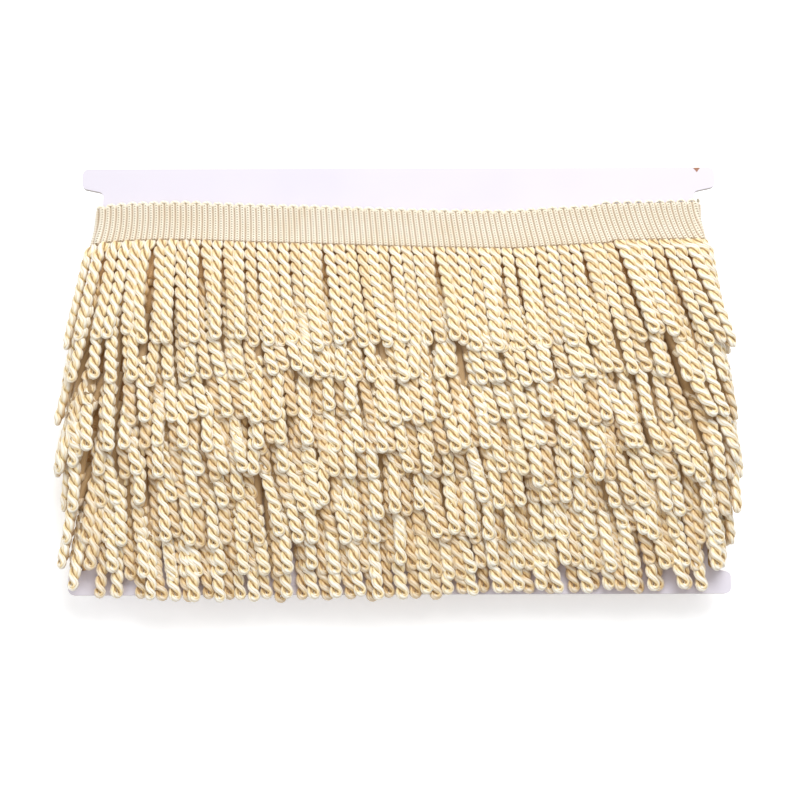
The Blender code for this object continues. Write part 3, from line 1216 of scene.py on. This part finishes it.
    def lifts(self, face: Face, tips: Array, clumps: Clumps) -> Array:
        """How far strands lift off the layers under them at their tips.

        Formula: what their clump and chance give, and a stack's lift. On the front of the inner passes
        most of the strands in every other place sink in between their neighbours.

        Args:
            face: The face that the strands belong to.
            tips: The tips' places across the face.
            clumps: The clumps' share.

        Returns:
            The lifts.
        """
        count = len(tips)
        own = self.rng.normal(self.strand_lift, self.chance.lift, count)
        lift = clumps.lift + own + self.stack(tips)
        if face is Face.FRONT and not self.settled:
            every_other = np.arange(count) % 2 == 0
            lift = lift - self.sink * (every_other & (self.rng.random(count) < self.sink_share))
        return lift

    def shade(self, across: Array, lift: Array) -> Array:
        """How much painted shade strands get for lying under their neighbours.

        Formula: how deep they lie, times a share in the outer passes. At both sides, which are lit, it
        eases down by the side light.

        Args:
            across: The strands' places across the face.
            lift: Their lifts, in the same order.

        Returns:
            The shares of full painted shade.
        """
        from_edge = self.winding.half_round / 2 - np.abs(across)
        at_sides = smooth_step(1.0 - from_edge / self.corner_reach)
        outer = self.settled_under_shade if self.settled else 1.0
        return self.under(lift) * outer * (1.0 - self.side_light * at_sides)

    def strands(self, face: Face) -> Strands:
        """Draws up the strands of a face, each a little different in length, lean, bend and twist.

        Args:
            face: The face that they belong to.

        Returns:
            The strands.
        """
        winding, rng, chance = self.winding, self.rng, self.chance
        front = face is Face.FRONT
        way = self.strand_pitch * (np.arange(int(self.end / self.strand_pitch)) + 0.5)
        place = winding.locate(self.number, way)
        chosen = place.side == face.value
        way, across, turn = way[chosen], place.across[chosen], place.turn[chosen]
        count = len(way)
        sway = sway_at(self.sway, way)
        lean_places, lean_degrees = np.array(FRONT_LEAN if front else BACK_LEAN).T
        clumps = self.clumps(across)
        root = winding.top(turn) + sway.rise - self.knit.depth + self.root_under
        length = self.wanted_length(across) + clumps.longer + rng.normal(0.0, chance.length, count)
        own_lean = np.radians(rng.normal(0.0, chance.lean_degrees, count))
        base = np.radians(np.interp(across, lean_places, lean_degrees))
        lean = base + clumps.lean + clumps.gather / length + own_lean
        length = np.minimum(length, (root - self.lowest(face, across, turn)) / np.cos(lean))
        width = np.clip(rng.normal(1.0, chance.width, count), *chance.width_range)
        tip_phase, half_twist = self.twist(length)
        lift = self.lifts(face, across + length * np.sin(lean), clumps)
        return Strands(
            winding=winding,
            cord=self.cord,
            side=face.value,
            across=across + sway.slant,
            turn=turn,
            root=root,
            length=length,
            lean=lean,
            bend=rng.normal(0.0, chance.bend, count),
            lift=lift + self.flare(face, across),
            width=width,
            half_twist=half_twist,
            tip_phase=tip_phase,
            tone=rng.normal(0.0, 1.0, count),
            under=self.shade(across, lift),
            shaded=1.0 if self.settled else self.covered_shade,
            exposed=self.exposed,
            covered_press=self.press_front if front else self.press_back,
            lift_limit=math.inf if front else winding.rest_height - self.cord.radius,
        )

    def band(self) -> Tubes:
        """The narrow strip that carries the strands' roots.

        Formula: a thin closed profile, less than a band thick, carried along the ways on its seat.

        Returns:
            The strip, as one tube.
        """
        winding = self.winding
        first, last = self.strip_ends
        way = np.arange(first, self.end - last, self.strand_pitch / 2)[:, None]
        upper, lower = self.knit.depth - self.strip_under, self.knit.depth + self.strip
        down = np.linspace(upper, lower, self.strip_rows)
        drop = np.concatenate([down, down[::-1]])[None, :]
        sway = sway_at(self.sway, way)
        side, across, turn = winding.locate(self.number, way)
        height = winding.top(turn) + sway.rise - drop
        seat = winding.seat(turn, height)
        is_outer = np.arange(drop.size)[None, :] < len(down)
        out = np.where(is_outer, self.strip_share * winding.band, 0.0)
        points = winding.place(side, winding.fan(across, seat), height, seat, out)
        closed = np.concatenate([drop, drop[:, :1]], axis=1)
        uv = np.stack(np.broadcast_arrays(way / self.strand_pitch, closed / MM), axis=-1)
        # The strip is painted in the deepest shade, as seen between the roots
        return Tubes(points[None], uv[None], np.zeros(1), STRIP_IN_DEEPEST_SHADE, PLAIN_FLANK)

    def build(self, finish: bpy.types.Material) -> bpy.types.Object:
        """Builds the pass's fringe as one piece.

        Args:
            finish: Material of the strands.

        Returns:
            Its object.
        """
        last = self.winding.passes
        on_front = {last: Run.WHOLE, last - 1: Run.WHOLE_BUT_COARSE_ROOT}
        on_back = {last: Run.WHOLE, last - 1: Run.WHOLE}
        families = [self.band()]
        for face, detail, runs in ((Face.FRONT, Detail.FRONT, on_front), (Face.BACK, Detail.BACK, on_back)):
            run = runs.get(self.number, Run.END)
            strands = self.strands(face)
            families.append(strands.tubes(detail, run))
            if run is Run.END:
                families.append(strands.rods())
        piece = make_piece(f"bullion_fringe_{self.number}", families, finish)
        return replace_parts(piece, f"fringe_{self.number}")


class Ramp(NamedTuple):
    """A share that runs straight from low at its start to high at its end, and is held past both."""

    start: float
    end: float
    low: float = 0.0
    high: float = 1.0


class NodeMaker:
    """Adds nodes to a tree and joins them."""

    def __init__(self, tree: bpy.types.NodeTree) -> None:
        """Keeps the tree that nodes are added to."""
        self.tree = tree

    def feed(self, socket: Socket, value: Value) -> None:
        """Gives a socket a value, or joins it to another node's socket.

        Args:
            socket: The input.
            value: Its value, or the output that it takes it from.
        """
        if isinstance(value, Socket):
            self.tree.links.new(value, socket)
        else:
            socket.default_value = value

    def add(self, kind: str, inputs: Inputs | None = None, **settings: object) -> bpy.types.Node:
        """Adds a node.

        Args:
            kind: The node's type.
            inputs: Values or sockets for its inputs, by name or index.
            settings: Its own settings.

        Returns:
            The node.
        """
        node = self.tree.nodes.new(kind)
        for key, value in settings.items():
            setattr(node, key, value)
        for key, value in (inputs or {}).items():
            self.feed(node.inputs[key], value)
        return node

    def math(self, operation: str, a: Value, b: Value = 0.0, c: Value = 0.0) -> Socket:
        """Adds a Math node and returns its result."""
        return self.add("ShaderNodeMath", {0: a, 1: b, 2: c}, operation=operation).outputs[0]

    def off_middle(self, value: Value) -> Socket:
        """Adds the way from the middle of each whole step of a value, up to a half, and returns it."""
        return self.math("ABSOLUTE", self.math("SUBTRACT", self.math("FRACT", value), 0.5))

    def ramp(self, value: Value, ramp: Ramp) -> Socket:
        """Adds a ramp over a value and returns its result."""
        inputs = {"Value": value, 1: ramp.start, 2: ramp.end, 3: ramp.low, 4: ramp.high}
        return self.add("ShaderNodeMapRange", inputs).outputs[0]

    def mix(self, share: Value, a: Value, b: Value) -> Socket:
        """Adds a colour mix.

        Args:
            share: Share of the second colour.
            a: The first colour.
            b: The second colour.

        Returns:
            The mixed colour.
        """
        node = self.add("ShaderNodeMix", data_type="RGBA")
        for socket, value in zip((node.inputs[0], node.inputs[6], node.inputs[7]), (share, a, b)):
            self.feed(socket, value)
        return node.outputs[2]

    def tint(self, share: Value, colour: Value, through: Value) -> Socket:
        """Adds a colour times another, as if seen through it.

        Args:
            share: How far the other colour counts.
            colour: The colour.
            through: The other colour.

        Returns:
            The tinted colour.
        """
        made = self.mix(share, colour, through)
        made.node.blend_type = "MULTIPLY"
        return made

    def attribute(self, name: str) -> Socket:
        """Adds a reading of one of the piece's own attributes and returns it."""
        return self.add("ShaderNodeAttribute", attribute_name=name).outputs["Fac"]

    def own_map(self) -> tuple[Socket, Socket]:
        """Adds a reading of the piece's own map.

        Returns:
            Its two coordinates.
        """
        spot = self.add("ShaderNodeUVMap", uv_map=YARN_MAP)
        split = self.add("ShaderNodeSeparateXYZ", {0: spot.outputs[0]})
        return split.outputs[0], split.outputs[1]

    def mottle(self, group: bpy.types.NodeTree, patches: float, specks: float) -> tuple[Socket, Socket]:
        """Adds the group of uneven patches and fine specks.

        Args:
            group: The group.
            patches: Scale of the patches.
            specks: Scale of the specks.

        Returns:
            The patches and the specks.
        """
        scales = {"Patch scale": patches, "Speck scale": specks}
        node = self.add("ShaderNodeGroup", scales, node_tree=group)
        return node.outputs["Patches"], node.outputs["Specks"]

    def bump(self, strength: float, distance: float, height: Value) -> Socket:
        """Adds a bump and returns its normal."""
        inputs = {"Strength": strength, "Distance": distance, "Height": height}
        return self.add("ShaderNodeBump", inputs).outputs[0]


def new_finish(name: str) -> tuple[bpy.types.Material, NodeMaker, bpy.types.Node]:
    """Makes a material.

    Args:
        name: Its name.

    Returns:
        The material, a maker for its nodes, and its shader.
    """
    made = bpy.data.materials.new(name)
    made.use_nodes = True
    return made, NodeMaker(made.node_tree), made.node_tree.nodes["Principled BSDF"]


def new_group(name: str, inputs: tuple[str, ...], outputs: tuple[str, ...]) -> tuple[NodeMaker, dict, dict]:
    """Makes an empty shader node group whose inputs and outputs are all numbers.

    Args:
        name: The group's name.
        inputs: Names of its inputs.
        outputs: Names of its outputs.

    Returns:
        A maker for its nodes, its input sockets and its output sockets by name.
    """
    tree = bpy.data.node_groups.new(name, "ShaderNodeTree")
    for label in inputs:
        tree.interface.new_socket(name=label, in_out="INPUT", socket_type="NodeSocketFloat")
    for label in outputs:
        tree.interface.new_socket(name=label, in_out="OUTPUT", socket_type="NodeSocketFloat")
    into = tree.nodes.new("NodeGroupInput")
    out = tree.nodes.new("NodeGroupOutput")
    return NodeMaker(tree), {n: into.outputs[n] for n in inputs}, {n: out.inputs[n] for n in outputs}


def yarn_group(groove_power: float = 3.0, fibre_stretch: float = 0.45) -> bpy.types.NodeTree:
    """Round yarns that wind side by side round a ply, with fine fibres along them.

    Formula: the phase is the share of the way round times the number of yarns, and the way along times
    the turns. A yarn is half a circle high, a groove lies between two, and the fibres are noise that is
    stretched along the yarns.

    Args:
        groove_power: How narrow the grooves are: the power of the way off the middle of a yarn.
        fibre_stretch: Scale of the noise along the yarns.

    Returns:
        The group, with outputs Height, Groove and Fibre.
    """
    maker, into, out = new_group(
        "yarns_in_a_ply",
        ("Around", "Along", "Yarns", "Turns", "Fibres"),
        ("Height", "Groove", "Fibre"),
    )
    wound = maker.math("MULTIPLY", into["Along"], into["Turns"])
    phase = maker.math("MULTIPLY_ADD", into["Around"], into["Yarns"], wound)
    off = maker.math("MULTIPLY", maker.off_middle(phase), 2.0)
    square = maker.math("SUBTRACT", 1.0, maker.math("MULTIPLY", off, off))
    maker.feed(out["Height"], maker.math("SQRT", maker.math("MAXIMUM", square, 0.0)))
    maker.feed(out["Groove"], maker.math("POWER", off, groove_power))
    fibre_across = maker.math("MULTIPLY", phase, into["Fibres"])
    fibre_along = maker.math("MULTIPLY", into["Along"], fibre_stretch)
    spot = maker.add("ShaderNodeCombineXYZ", {0: fibre_across, 1: fibre_along})
    noise = maker.add("ShaderNodeTexNoise", {"Vector": spot.outputs[0], "Scale": 1.0, "Detail": 2.0})
    maker.feed(out["Fibre"], noise.outputs["Fac"])
    return maker.tree


def mottle_group() -> bpy.types.NodeTree:
    """Soft uneven patches and fine specks over a piece, by its own coordinates.

    Returns:
        The group, with outputs Patches and Specks.
    """
    maker, into, out = new_group("mottle", ("Patch scale", "Speck scale"), ("Patches", "Specks"))
    place = maker.add("ShaderNodeTexCoord").outputs["Object"]
    for label, scale, detail in (("Patches", "Patch scale", 2.0), ("Specks", "Speck scale", 3.0)):
        noise = maker.add("ShaderNodeTexNoise", {"Vector": place, "Scale": into[scale], "Detail": detail})
        maker.feed(out[label], noise.outputs["Fac"])
    return maker.tree


@dataclass(frozen=True)
class YarnFinish:
    """Twisted rayon yarn with a satin sheen, with painted shade: darker in its grooves, brown deep between
    strands.

    Round a ply the inner colour and then the crease follow the flank, as painted shade away from its lit
    outer line. With depth the yarn is tinted by painted shade, glows faintly with a painted glow that
    stands in for the light that comes through it, and turns to the deepest colour.
    """

    name: str
    crest: Colour = (0.884, 0.848, 0.746, 1.0)
    # Painted shade colours: inner on a ply's sides, groove between the yarns, crease where the plies meet
    inner: Colour = (0.857, 0.679, 0.357, 1.0)
    groove: Colour = (0.714, 0.464, 0.161, 1.0)
    crease: Colour = (0.400, 0.235, 0.080, 1.0)
    shade: Colour = (0.830, 0.688, 0.438, 1.0)
    # Painted shade deep between strands: a tint, then the deepest colour
    deep: Colour = (0.590, 0.430, 0.245, 1.0)
    deepest: Colour = (0.300, 0.160, 0.060, 1.0)
    # A painted glow in the deep parts, standing in for light that comes through the yarn
    no_glow: Colour = (0.0, 0.0, 0.0, 1.0)
    glow: Colour = (0.085, 0.054, 0.024, 1.0)
    patch_scale: float = 38.0
    speck_scale: float = 900.0
    tone_share: float = 0.11
    dull: Ramp = Ramp(0.42, 0.95, high=0.55)
    streak: Ramp = Ramp(0.52, 0.8, high=0.45)
    to_inner: Ramp = Ramp(0.12, 0.19, high=0.9)
    groove_share: float = 0.5
    to_crease: Ramp = Ramp(0.25, 0.29)
    to_deepest: Ramp = Ramp(1.0, 2.0)
    yarns: float = 5.0
    turns: float = -0.32
    fibres: float = 9.0
    fibre_height: float = 0.3
    bump: float = 0.9
    bump_height: float = 0.3 * MM
    roughness: float = 0.30
    fibre_roughness: float = 0.25
    sheen: float = 0.5
    sheen_roughness: float = 0.4
    specular: float = 0.55

    def make(self, yarns: bpy.types.NodeTree, mottle: bpy.types.NodeTree) -> bpy.types.Material:
        """Makes the material.

        Args:
            yarns: The group that draws the yarns in a ply.
            mottle: The group that draws uneven patches.

        Returns:
            The material.
        """
        made, maker, shader = new_finish(self.name)
        around, along = maker.own_map()
        feeds = {"Around": around, "Along": along, "Yarns": self.yarns}
        feeds |= {"Turns": self.turns, "Fibres": self.fibres}
        drawn = maker.add("ShaderNodeGroup", feeds, node_tree=yarns)
        height, groove, fibre = (drawn.outputs[label] for label in ("Height", "Groove", "Fibre"))
        patches, _ = maker.mottle(mottle, self.patch_scale, self.speck_scale)
        uneven = maker.math("MULTIPLY_ADD", maker.attribute(TONE), self.tone_share, patches)
        colour = maker.mix(maker.ramp(uneven, self.dull), self.crest, self.shade)
        colour = maker.mix(maker.ramp(fibre, self.streak), colour, self.shade)
        # Painted shade round a ply: yellower away from its lit outer line, dark in the crease where the
        # plies meet
        off = maker.math("ABSOLUTE", maker.attribute(FLANK))
        colour = maker.mix(maker.ramp(off, self.to_inner), colour, self.inner)
        # Painted shade in the grooves between the yarns
        colour = maker.mix(maker.math("MULTIPLY", groove, self.groove_share), colour, self.groove)
        colour = maker.mix(maker.ramp(off, self.to_crease), colour, self.crease)
        # Painted shade deep between the strands: a tint, then the deepest colour
        shade_depth = maker.attribute(PAINTED_SHADE)
        depth = maker.math("MINIMUM", shade_depth, 1.0)
        colour = maker.tint(depth, colour, self.deep)
        colour = maker.mix(maker.ramp(shade_depth, self.to_deepest), colour, self.deepest)
        maker.feed(shader.inputs["Base Color"], colour)
        # Painted glow where the yarn lies deep, standing in for light that comes through it
        maker.feed(shader.inputs["Emission Color"], maker.mix(depth, self.no_glow, self.glow))
        shader.inputs["Emission Strength"].default_value = 1.0
        made.cycles.emission_sampling = "NONE"
        rough = maker.math("MULTIPLY_ADD", fibre, self.fibre_roughness, self.roughness)
        maker.feed(shader.inputs["Roughness"], rough)
        raised = maker.math("MULTIPLY_ADD", fibre, self.fibre_height, height)
        maker.feed(shader.inputs["Normal"], maker.bump(self.bump, self.bump_height, raised))
        shader.inputs["Sheen Weight"].default_value = self.sheen
        shader.inputs["Sheen Roughness"].default_value = self.sheen_roughness
        shader.inputs["Specular IOR Level"].default_value = self.specular
        return made


@dataclass(frozen=True)
class KnitFinish:
    """The ribbed heading knit: slanted yarn legs on each rib, with painted shade in the valleys between
    ribs.

    Small holes show along the middle of each rib as dark painted shade, and a darker line along the lower
    border.
    Where other passes cover the heading it takes painted shade.
    """

    name: str
    knit: Knit
    crest: Colour = (0.890, 0.852, 0.730, 1.0)
    # Painted shade: valley in the valleys and stitch notches, and it also darkens the lower border line;
    # hole in the stitch holes; deep where other passes cover the knit
    valley: Colour = (0.330, 0.160, 0.045, 1.0)
    shade: Colour = (0.768, 0.643, 0.429, 1.0)
    hole: Colour = (0.240, 0.165, 0.080, 1.0)
    deep: Colour = (0.714, 0.430, 0.170, 1.0)
    patch_scale: float = 60.0
    speck_scale: float = 1500.0
    dull: Ramp = Ramp(0.4, 0.9, high=0.5)
    valley_power: float = 2.4
    stitch_slant: float = -1.3
    notch_power: float = 5.0
    notch_share: float = 0.35
    dot_strength: float = 1.1
    dot_base: float = 0.5
    rib_middle: Ramp = Ramp(0.17, 0.06)
    stitches_apart: Ramp = Ramp(0.14, 0.30)
    hole_share: float = 0.85
    threads: float = 7.0
    thread_share: float = 0.5
    border: float = 0.9
    border_reach: float = 0.3
    border_share: float = 0.45
    deep_share: float = 0.9
    notch_height: float = -2.0
    thread_height: float = -0.6
    speck_height: float = 0.5
    bump: float = 0.8
    bump_height: float = 0.12 * MM
    roughness: float = 0.4
    speck_roughness: float = 0.2
    sheen: float = 0.15
    sheen_roughness: float = 0.4

    def make(self, mottle: bpy.types.NodeTree) -> bpy.types.Material:
        """Makes the material. It reads the ways along and down the heading, in millimetres, from the map.

        Args:
            mottle: The group that draws uneven patches.

        Returns:
            The material.
        """
        made, maker, shader = new_finish(self.name)
        along, down = maker.own_map()
        off = maker.off_middle(maker.math("DIVIDE", along, self.knit.rib_pitch / MM))
        # Painted shade in the valleys between ribs and in the notches between stitches
        in_valley = maker.math("POWER", maker.math("MULTIPLY", off, 2.0), self.valley_power)
        stitch = maker.math("DIVIDE", down, self.knit.stitch / MM)
        between = maker.off_middle(maker.math("MULTIPLY_ADD", off, self.stitch_slant, stitch))
        notch = maker.math("POWER", maker.math("MULTIPLY", between, 2.0), self.notch_power)
        dots = maker.math("MULTIPLY_ADD", between, self.dot_strength, self.dot_base)
        dotted = maker.math("MULTIPLY", in_valley, dots)
        dark = maker.math("MAXIMUM", dotted, maker.math("MULTIPLY", notch, self.notch_share))
        at_middle = maker.ramp(off, self.rib_middle)
        holes = maker.math("MULTIPLY", at_middle, maker.ramp(between, self.stitches_apart))
        thread = maker.off_middle(maker.math("MULTIPLY_ADD", off, self.threads, stitch))
        patches, specks = maker.mottle(mottle, self.patch_scale, self.speck_scale)
        colour = maker.mix(maker.ramp(patches, self.dull), self.crest, self.shade)
        colour = maker.mix(maker.math("MULTIPLY", thread, self.thread_share), colour, self.shade)
        end = self.knit.depth / MM - self.border
        bound = maker.ramp(down, Ramp(end, end + self.border_reach, high=self.border_share))
        colour = maker.mix(bound, colour, self.valley)
        # Painted shade in the valleys and notches, then in the stitch holes
        colour = maker.mix(dark, colour, self.valley)
        colour = maker.mix(maker.math("MULTIPLY", holes, self.hole_share), colour, self.hole)
        # Painted shade where other passes cover the heading
        depth = maker.math("MULTIPLY", maker.attribute(PAINTED_SHADE), self.deep_share)
        maker.feed(shader.inputs["Base Color"], maker.mix(depth, colour, self.deep))
        rough = maker.math("MULTIPLY_ADD", specks, self.speck_roughness, self.roughness)
        maker.feed(shader.inputs["Roughness"], rough)
        threads_cut = maker.math("MULTIPLY", thread, self.thread_height)
        cut = maker.math("MULTIPLY_ADD", notch, self.notch_height, threads_cut)
        height = maker.math("MULTIPLY_ADD", specks, self.speck_height, cut)
        maker.feed(shader.inputs["Normal"], maker.bump(self.bump, self.bump_height, height))
        shader.inputs["Sheen Weight"].default_value = self.sheen
        shader.inputs["Sheen Roughness"].default_value = self.sheen_roughness
        return made


@dataclass(frozen=True)
class BoardFinish:
    """White winding board with a smooth faced paper, a duller core at its cut edges and a worn nick."""

    name: str
    white: Colour = (0.672, 0.637, 0.706, 1.0)
    grey: Colour = (0.641, 0.606, 0.684, 1.0)
    core: Colour = (0.360, 0.330, 0.320, 1.0)
    worn: Colour = (0.300, 0.130, 0.070, 1.0)
    patch_scale: float = 26.0
    speck_scale: float = 2400.0
    dull: Ramp = Ramp(0.35, 0.75, high=0.8)
    to_core: Ramp = Ramp(0.3, 0.8, low=1.0, high=0.0)
    nick: tuple[float, float] = (139.8 * MM, 100.3 * MM)
    nick_size: float = 2.6 * MM
    nick_slope: float = 1.3
    nick_ragged: float = 0.9 * MM
    nick_fade: float = 1.25
    nick_depth: float = -4.0
    bump: float = 0.25
    bump_height: float = 0.05 * MM
    roughness: float = 0.5
    speck_roughness: float = 0.15

    def make(self, mottle: bpy.types.NodeTree) -> bpy.types.Material:
        """Makes the material.

        Args:
            mottle: The group that draws uneven patches.

        Returns:
            The material.
        """
        made, maker, shader = new_finish(self.name)
        place = maker.add("ShaderNodeTexCoord").outputs["Object"]
        patches, specks = maker.mottle(mottle, self.patch_scale, self.speck_scale)
        colour = maker.mix(maker.ramp(patches, self.dull), self.white, self.grey)
        normal = maker.add("ShaderNodeNewGeometry").outputs["Normal"]
        level = maker.math("ABSOLUTE", maker.add("ShaderNodeSeparateXYZ", {0: normal}).outputs[2])
        colour = maker.mix(maker.ramp(level, self.to_core), colour, self.core)
        split = maker.add("ShaderNodeSeparateXYZ", {0: place})
        to_side = maker.math("ABSOLUTE", maker.math("SUBTRACT", split.outputs[0], self.nick[0]))
        below = maker.math("SUBTRACT", self.nick[1], split.outputs[1])
        reach = maker.math("MULTIPLY_ADD", to_side, self.nick_slope, below)
        ragged = maker.math("MULTIPLY_ADD", specks, self.nick_ragged, reach)
        nick_end = Ramp(self.nick_size, self.nick_size * self.nick_fade, low=1.0, high=0.0)
        torn = maker.ramp(ragged, nick_end)
        maker.feed(shader.inputs["Base Color"], maker.mix(torn, colour, self.worn))
        rough = maker.math("MULTIPLY_ADD", specks, self.speck_roughness, self.roughness)
        maker.feed(shader.inputs["Roughness"], rough)
        height = maker.math("MULTIPLY_ADD", torn, self.nick_depth, specks)
        maker.feed(shader.inputs["Normal"], maker.bump(self.bump, self.bump_height, height))
        return made


@dataclass(frozen=True)
class FloorFinish:
    """A matt floor of one pale colour, lit a little from within like a light table."""

    name: str
    colour: Colour = (0.97, 0.97, 0.97, 1.0)
    light: Colour = (1.0, 1.0, 1.0, 1.0)
    glow: float = 0.22
    roughness: float = 0.9

    def make(self) -> bpy.types.Material:
        """Makes the material.

        Returns:
            The material.
        """
        made, _, shader = new_finish(self.name)
        shader.inputs["Base Color"].default_value = self.colour
        shader.inputs["Roughness"].default_value = self.roughness
        shader.inputs["Emission Color"].default_value = self.light
        shader.inputs["Emission Strength"].default_value = self.glow
        made.cycles.emission_sampling = "NONE"
        return made


class SoftLight(NamedTuple):
    """A square area light that points at the card: its place from there, its side, and its watts."""

    name: str
    place: tuple[float, float, float]
    size: float
    power: float


SOFT_LIGHTS = (
    SoftLight("key", (0.28, 0.70, 0.85), 0.9, 13.3),
    SoftLight("fill", (-0.8, -0.3, 1.0), 1.2, 5.2),
)


@dataclass(frozen=True)
class Studio:
    """The camera, the floor and the soft light.

    The camera looks down on the card's front from above its lower edge. Its place is given by the distance
    from the middle of the card's front, the tilt from straight above it, and the place on the card at which
    it aims.
    """

    target: Vector
    distance: float = 724.5 * MM
    tilt: float = math.radians(11.5)
    lens: float = 71.26
    sensor: float = 36.0
    nearest: float = 0.05
    aim: tuple[float, float] = (0.4 * MM, -11.2 * MM)
    floor_reach: float = 4.0
    even_light: float = 0.52

    def camera(self) -> None:
        """Adds the camera and makes it the scene's own."""
        data = bpy.data.cameras.new("camera")
        data.lens = self.lens
        data.sensor_width = self.sensor
        data.clip_start = self.nearest
        made = bpy.data.objects.new("camera", data)
        bpy.context.scene.collection.objects.link(made)
        back = Vector((0.0, -math.sin(self.tilt), math.cos(self.tilt)))
        made.location = self.target + back * self.distance
        aim = self.target + Vector((self.aim[0], self.aim[1], 0.0))
        made.rotation_euler = (aim - made.location).to_track_quat("-Z", "Y").to_euler()
        bpy.context.scene.camera = made

    def light(self, soft: SoftLight) -> None:
        """Adds one of the lights.

        Args:
            soft: The light.
        """
        data = bpy.data.lights.new(soft.name, "AREA")
        data.shape = "SQUARE"
        data.size = soft.size
        data.energy = soft.power
        made = bpy.data.objects.new(soft.name, data)
        bpy.context.scene.collection.objects.link(made)
        made.location = self.target + Vector(soft.place)
        made.rotation_euler = (-Vector(soft.place)).to_track_quat("-Z", "Y").to_euler()

    def floor(self) -> None:
        """Adds the pale floor that the wound card lies on."""
        reach = self.floor_reach
        points = [(-reach, -reach, 0.0), (reach, -reach, 0.0), (reach, reach, 0.0), (-reach, reach, 0.0)]
        mesh = bpy.data.meshes.new("floor")
        mesh.from_pydata(points, [], [(0, 1, 2, 3)])
        mesh.materials.append(FloorFinish("pale_floor").make())
        made = bpy.data.objects.new("floor", mesh)
        bpy.context.scene.collection.objects.link(made)

    def world(self) -> None:
        """Fills the scene with even white light."""
        world = bpy.data.worlds.new("soft_white")
        world.use_nodes = True
        background = world.node_tree.nodes["Background"]
        background.inputs["Color"].default_value = (1.0, 1.0, 1.0, 1.0)
        background.inputs["Strength"].default_value = self.even_light
        bpy.context.scene.world = world

    def build(self) -> None:
        """Builds the whole studio."""
        self.camera()
        self.floor()
        for soft in SOFT_LIGHTS:
            self.light(soft)
        self.world()
        bpy.context.scene.view_settings.view_transform = "Standard"


PASS_SHAPES = (
    PassShape(69.7 * MM, 6.0 * MM, 0.0 * MM, 4.5 * MM, 7.0 * MM),
    PassShape(69.5 * MM, 6.5 * MM, 0.0 * MM, 2.0 * MM, 4.0 * MM),
    PassShape(69.0 * MM, 4.0 * MM, 1.5 * MM, 1.0 * MM),
    PassShape(68.0 * MM, 4.0 * MM, 2.5 * MM, 0.0 * MM),
    PassShape(67.5 * MM, 3.0 * MM, 1.5 * MM, 0.0 * MM),
    PassShape(69.5 * MM, 2.0 * MM, 1.5 * MM, 0.0 * MM),
    PassShape(69.5 * MM, 0.8 * MM, 1.5 * MM, 0.0 * MM),
    PassShape(67.5 * MM, 0.6 * MM, -3.2 * MM, 0.0 * MM),
    PassShape(68.0 * MM, 0.5 * MM, -3.6 * MM, 0.0 * MM),
)


@dataclass
class WoundTrim:
    """The whole object: the card, and the trim's heading and fringe pass by pass."""

    knit: Knit
    cord: BullionCord
    winding: Winding

    def build(self) -> None:
        """Builds the pieces in order, from the card outwards."""
        yarns, mottle = yarn_group(), mottle_group()
        board = BoardFinish("white_winding_board").make(mottle)
        knit = KnitFinish("ribbed_rayon_knit", self.knit).make(mottle)
        yarn = YarnFinish("twisted_rayon_bullion").make(yarns, mottle)
        # The heading's loops take less of the painted shade on a ply's sides
        loop_yarn = YarnFinish(
            "heading_loop_yarn",
            to_inner=Ramp(0.12, 0.19, high=0.3),
            yarns=2.0,
            turns=0.35,
            bump_height=0.12 * MM,
        )
        loops = loop_yarn.make(yarns, mottle)
        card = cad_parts["winding_card"]
        card.data.materials.clear()
        card.data.materials.append(board)
        log.info("winding card dressed")
        winding, last = self.winding, self.winding.passes
        inner = Heading("heading_inner", 1, last - 2, winding, self.knit, columns=2, rows=3)
        under = Heading("heading_under", last - 1, last - 1, winding, self.knit, columns=6, rows=9)
        top = Heading("heading_top", last, last, winding, self.knit, columns=8, rows=21, sway=TOP_PASS_SWAY)
        inner.build(knit, None)
        under.build(knit, loops)
        top.build(knit, loops)
        for number, shape in enumerate(PASS_SHAPES, start=1):
            sway = TOP_PASS_SWAY if number == last else LEVEL_SWAY
            FringePass(number, winding, self.knit, self.cord, shape, sway).build(yarn)


def main() -> None:
    """Builds the studio and the wound trim."""
    logging.basicConfig(level=logging.INFO, format="%(name)s: %(message)s")
    knit = Knit()
    winding = Winding.from_frame(knit.packed_depth, len(PASS_SHAPES))
    front = winding.centre + Vector((0.0, 0.0, winding.card_thickness / 2))
    Studio(front).build()
    WoundTrim(knit, BullionCord(), winding).build()


if __name__ == "__main__":
    main()
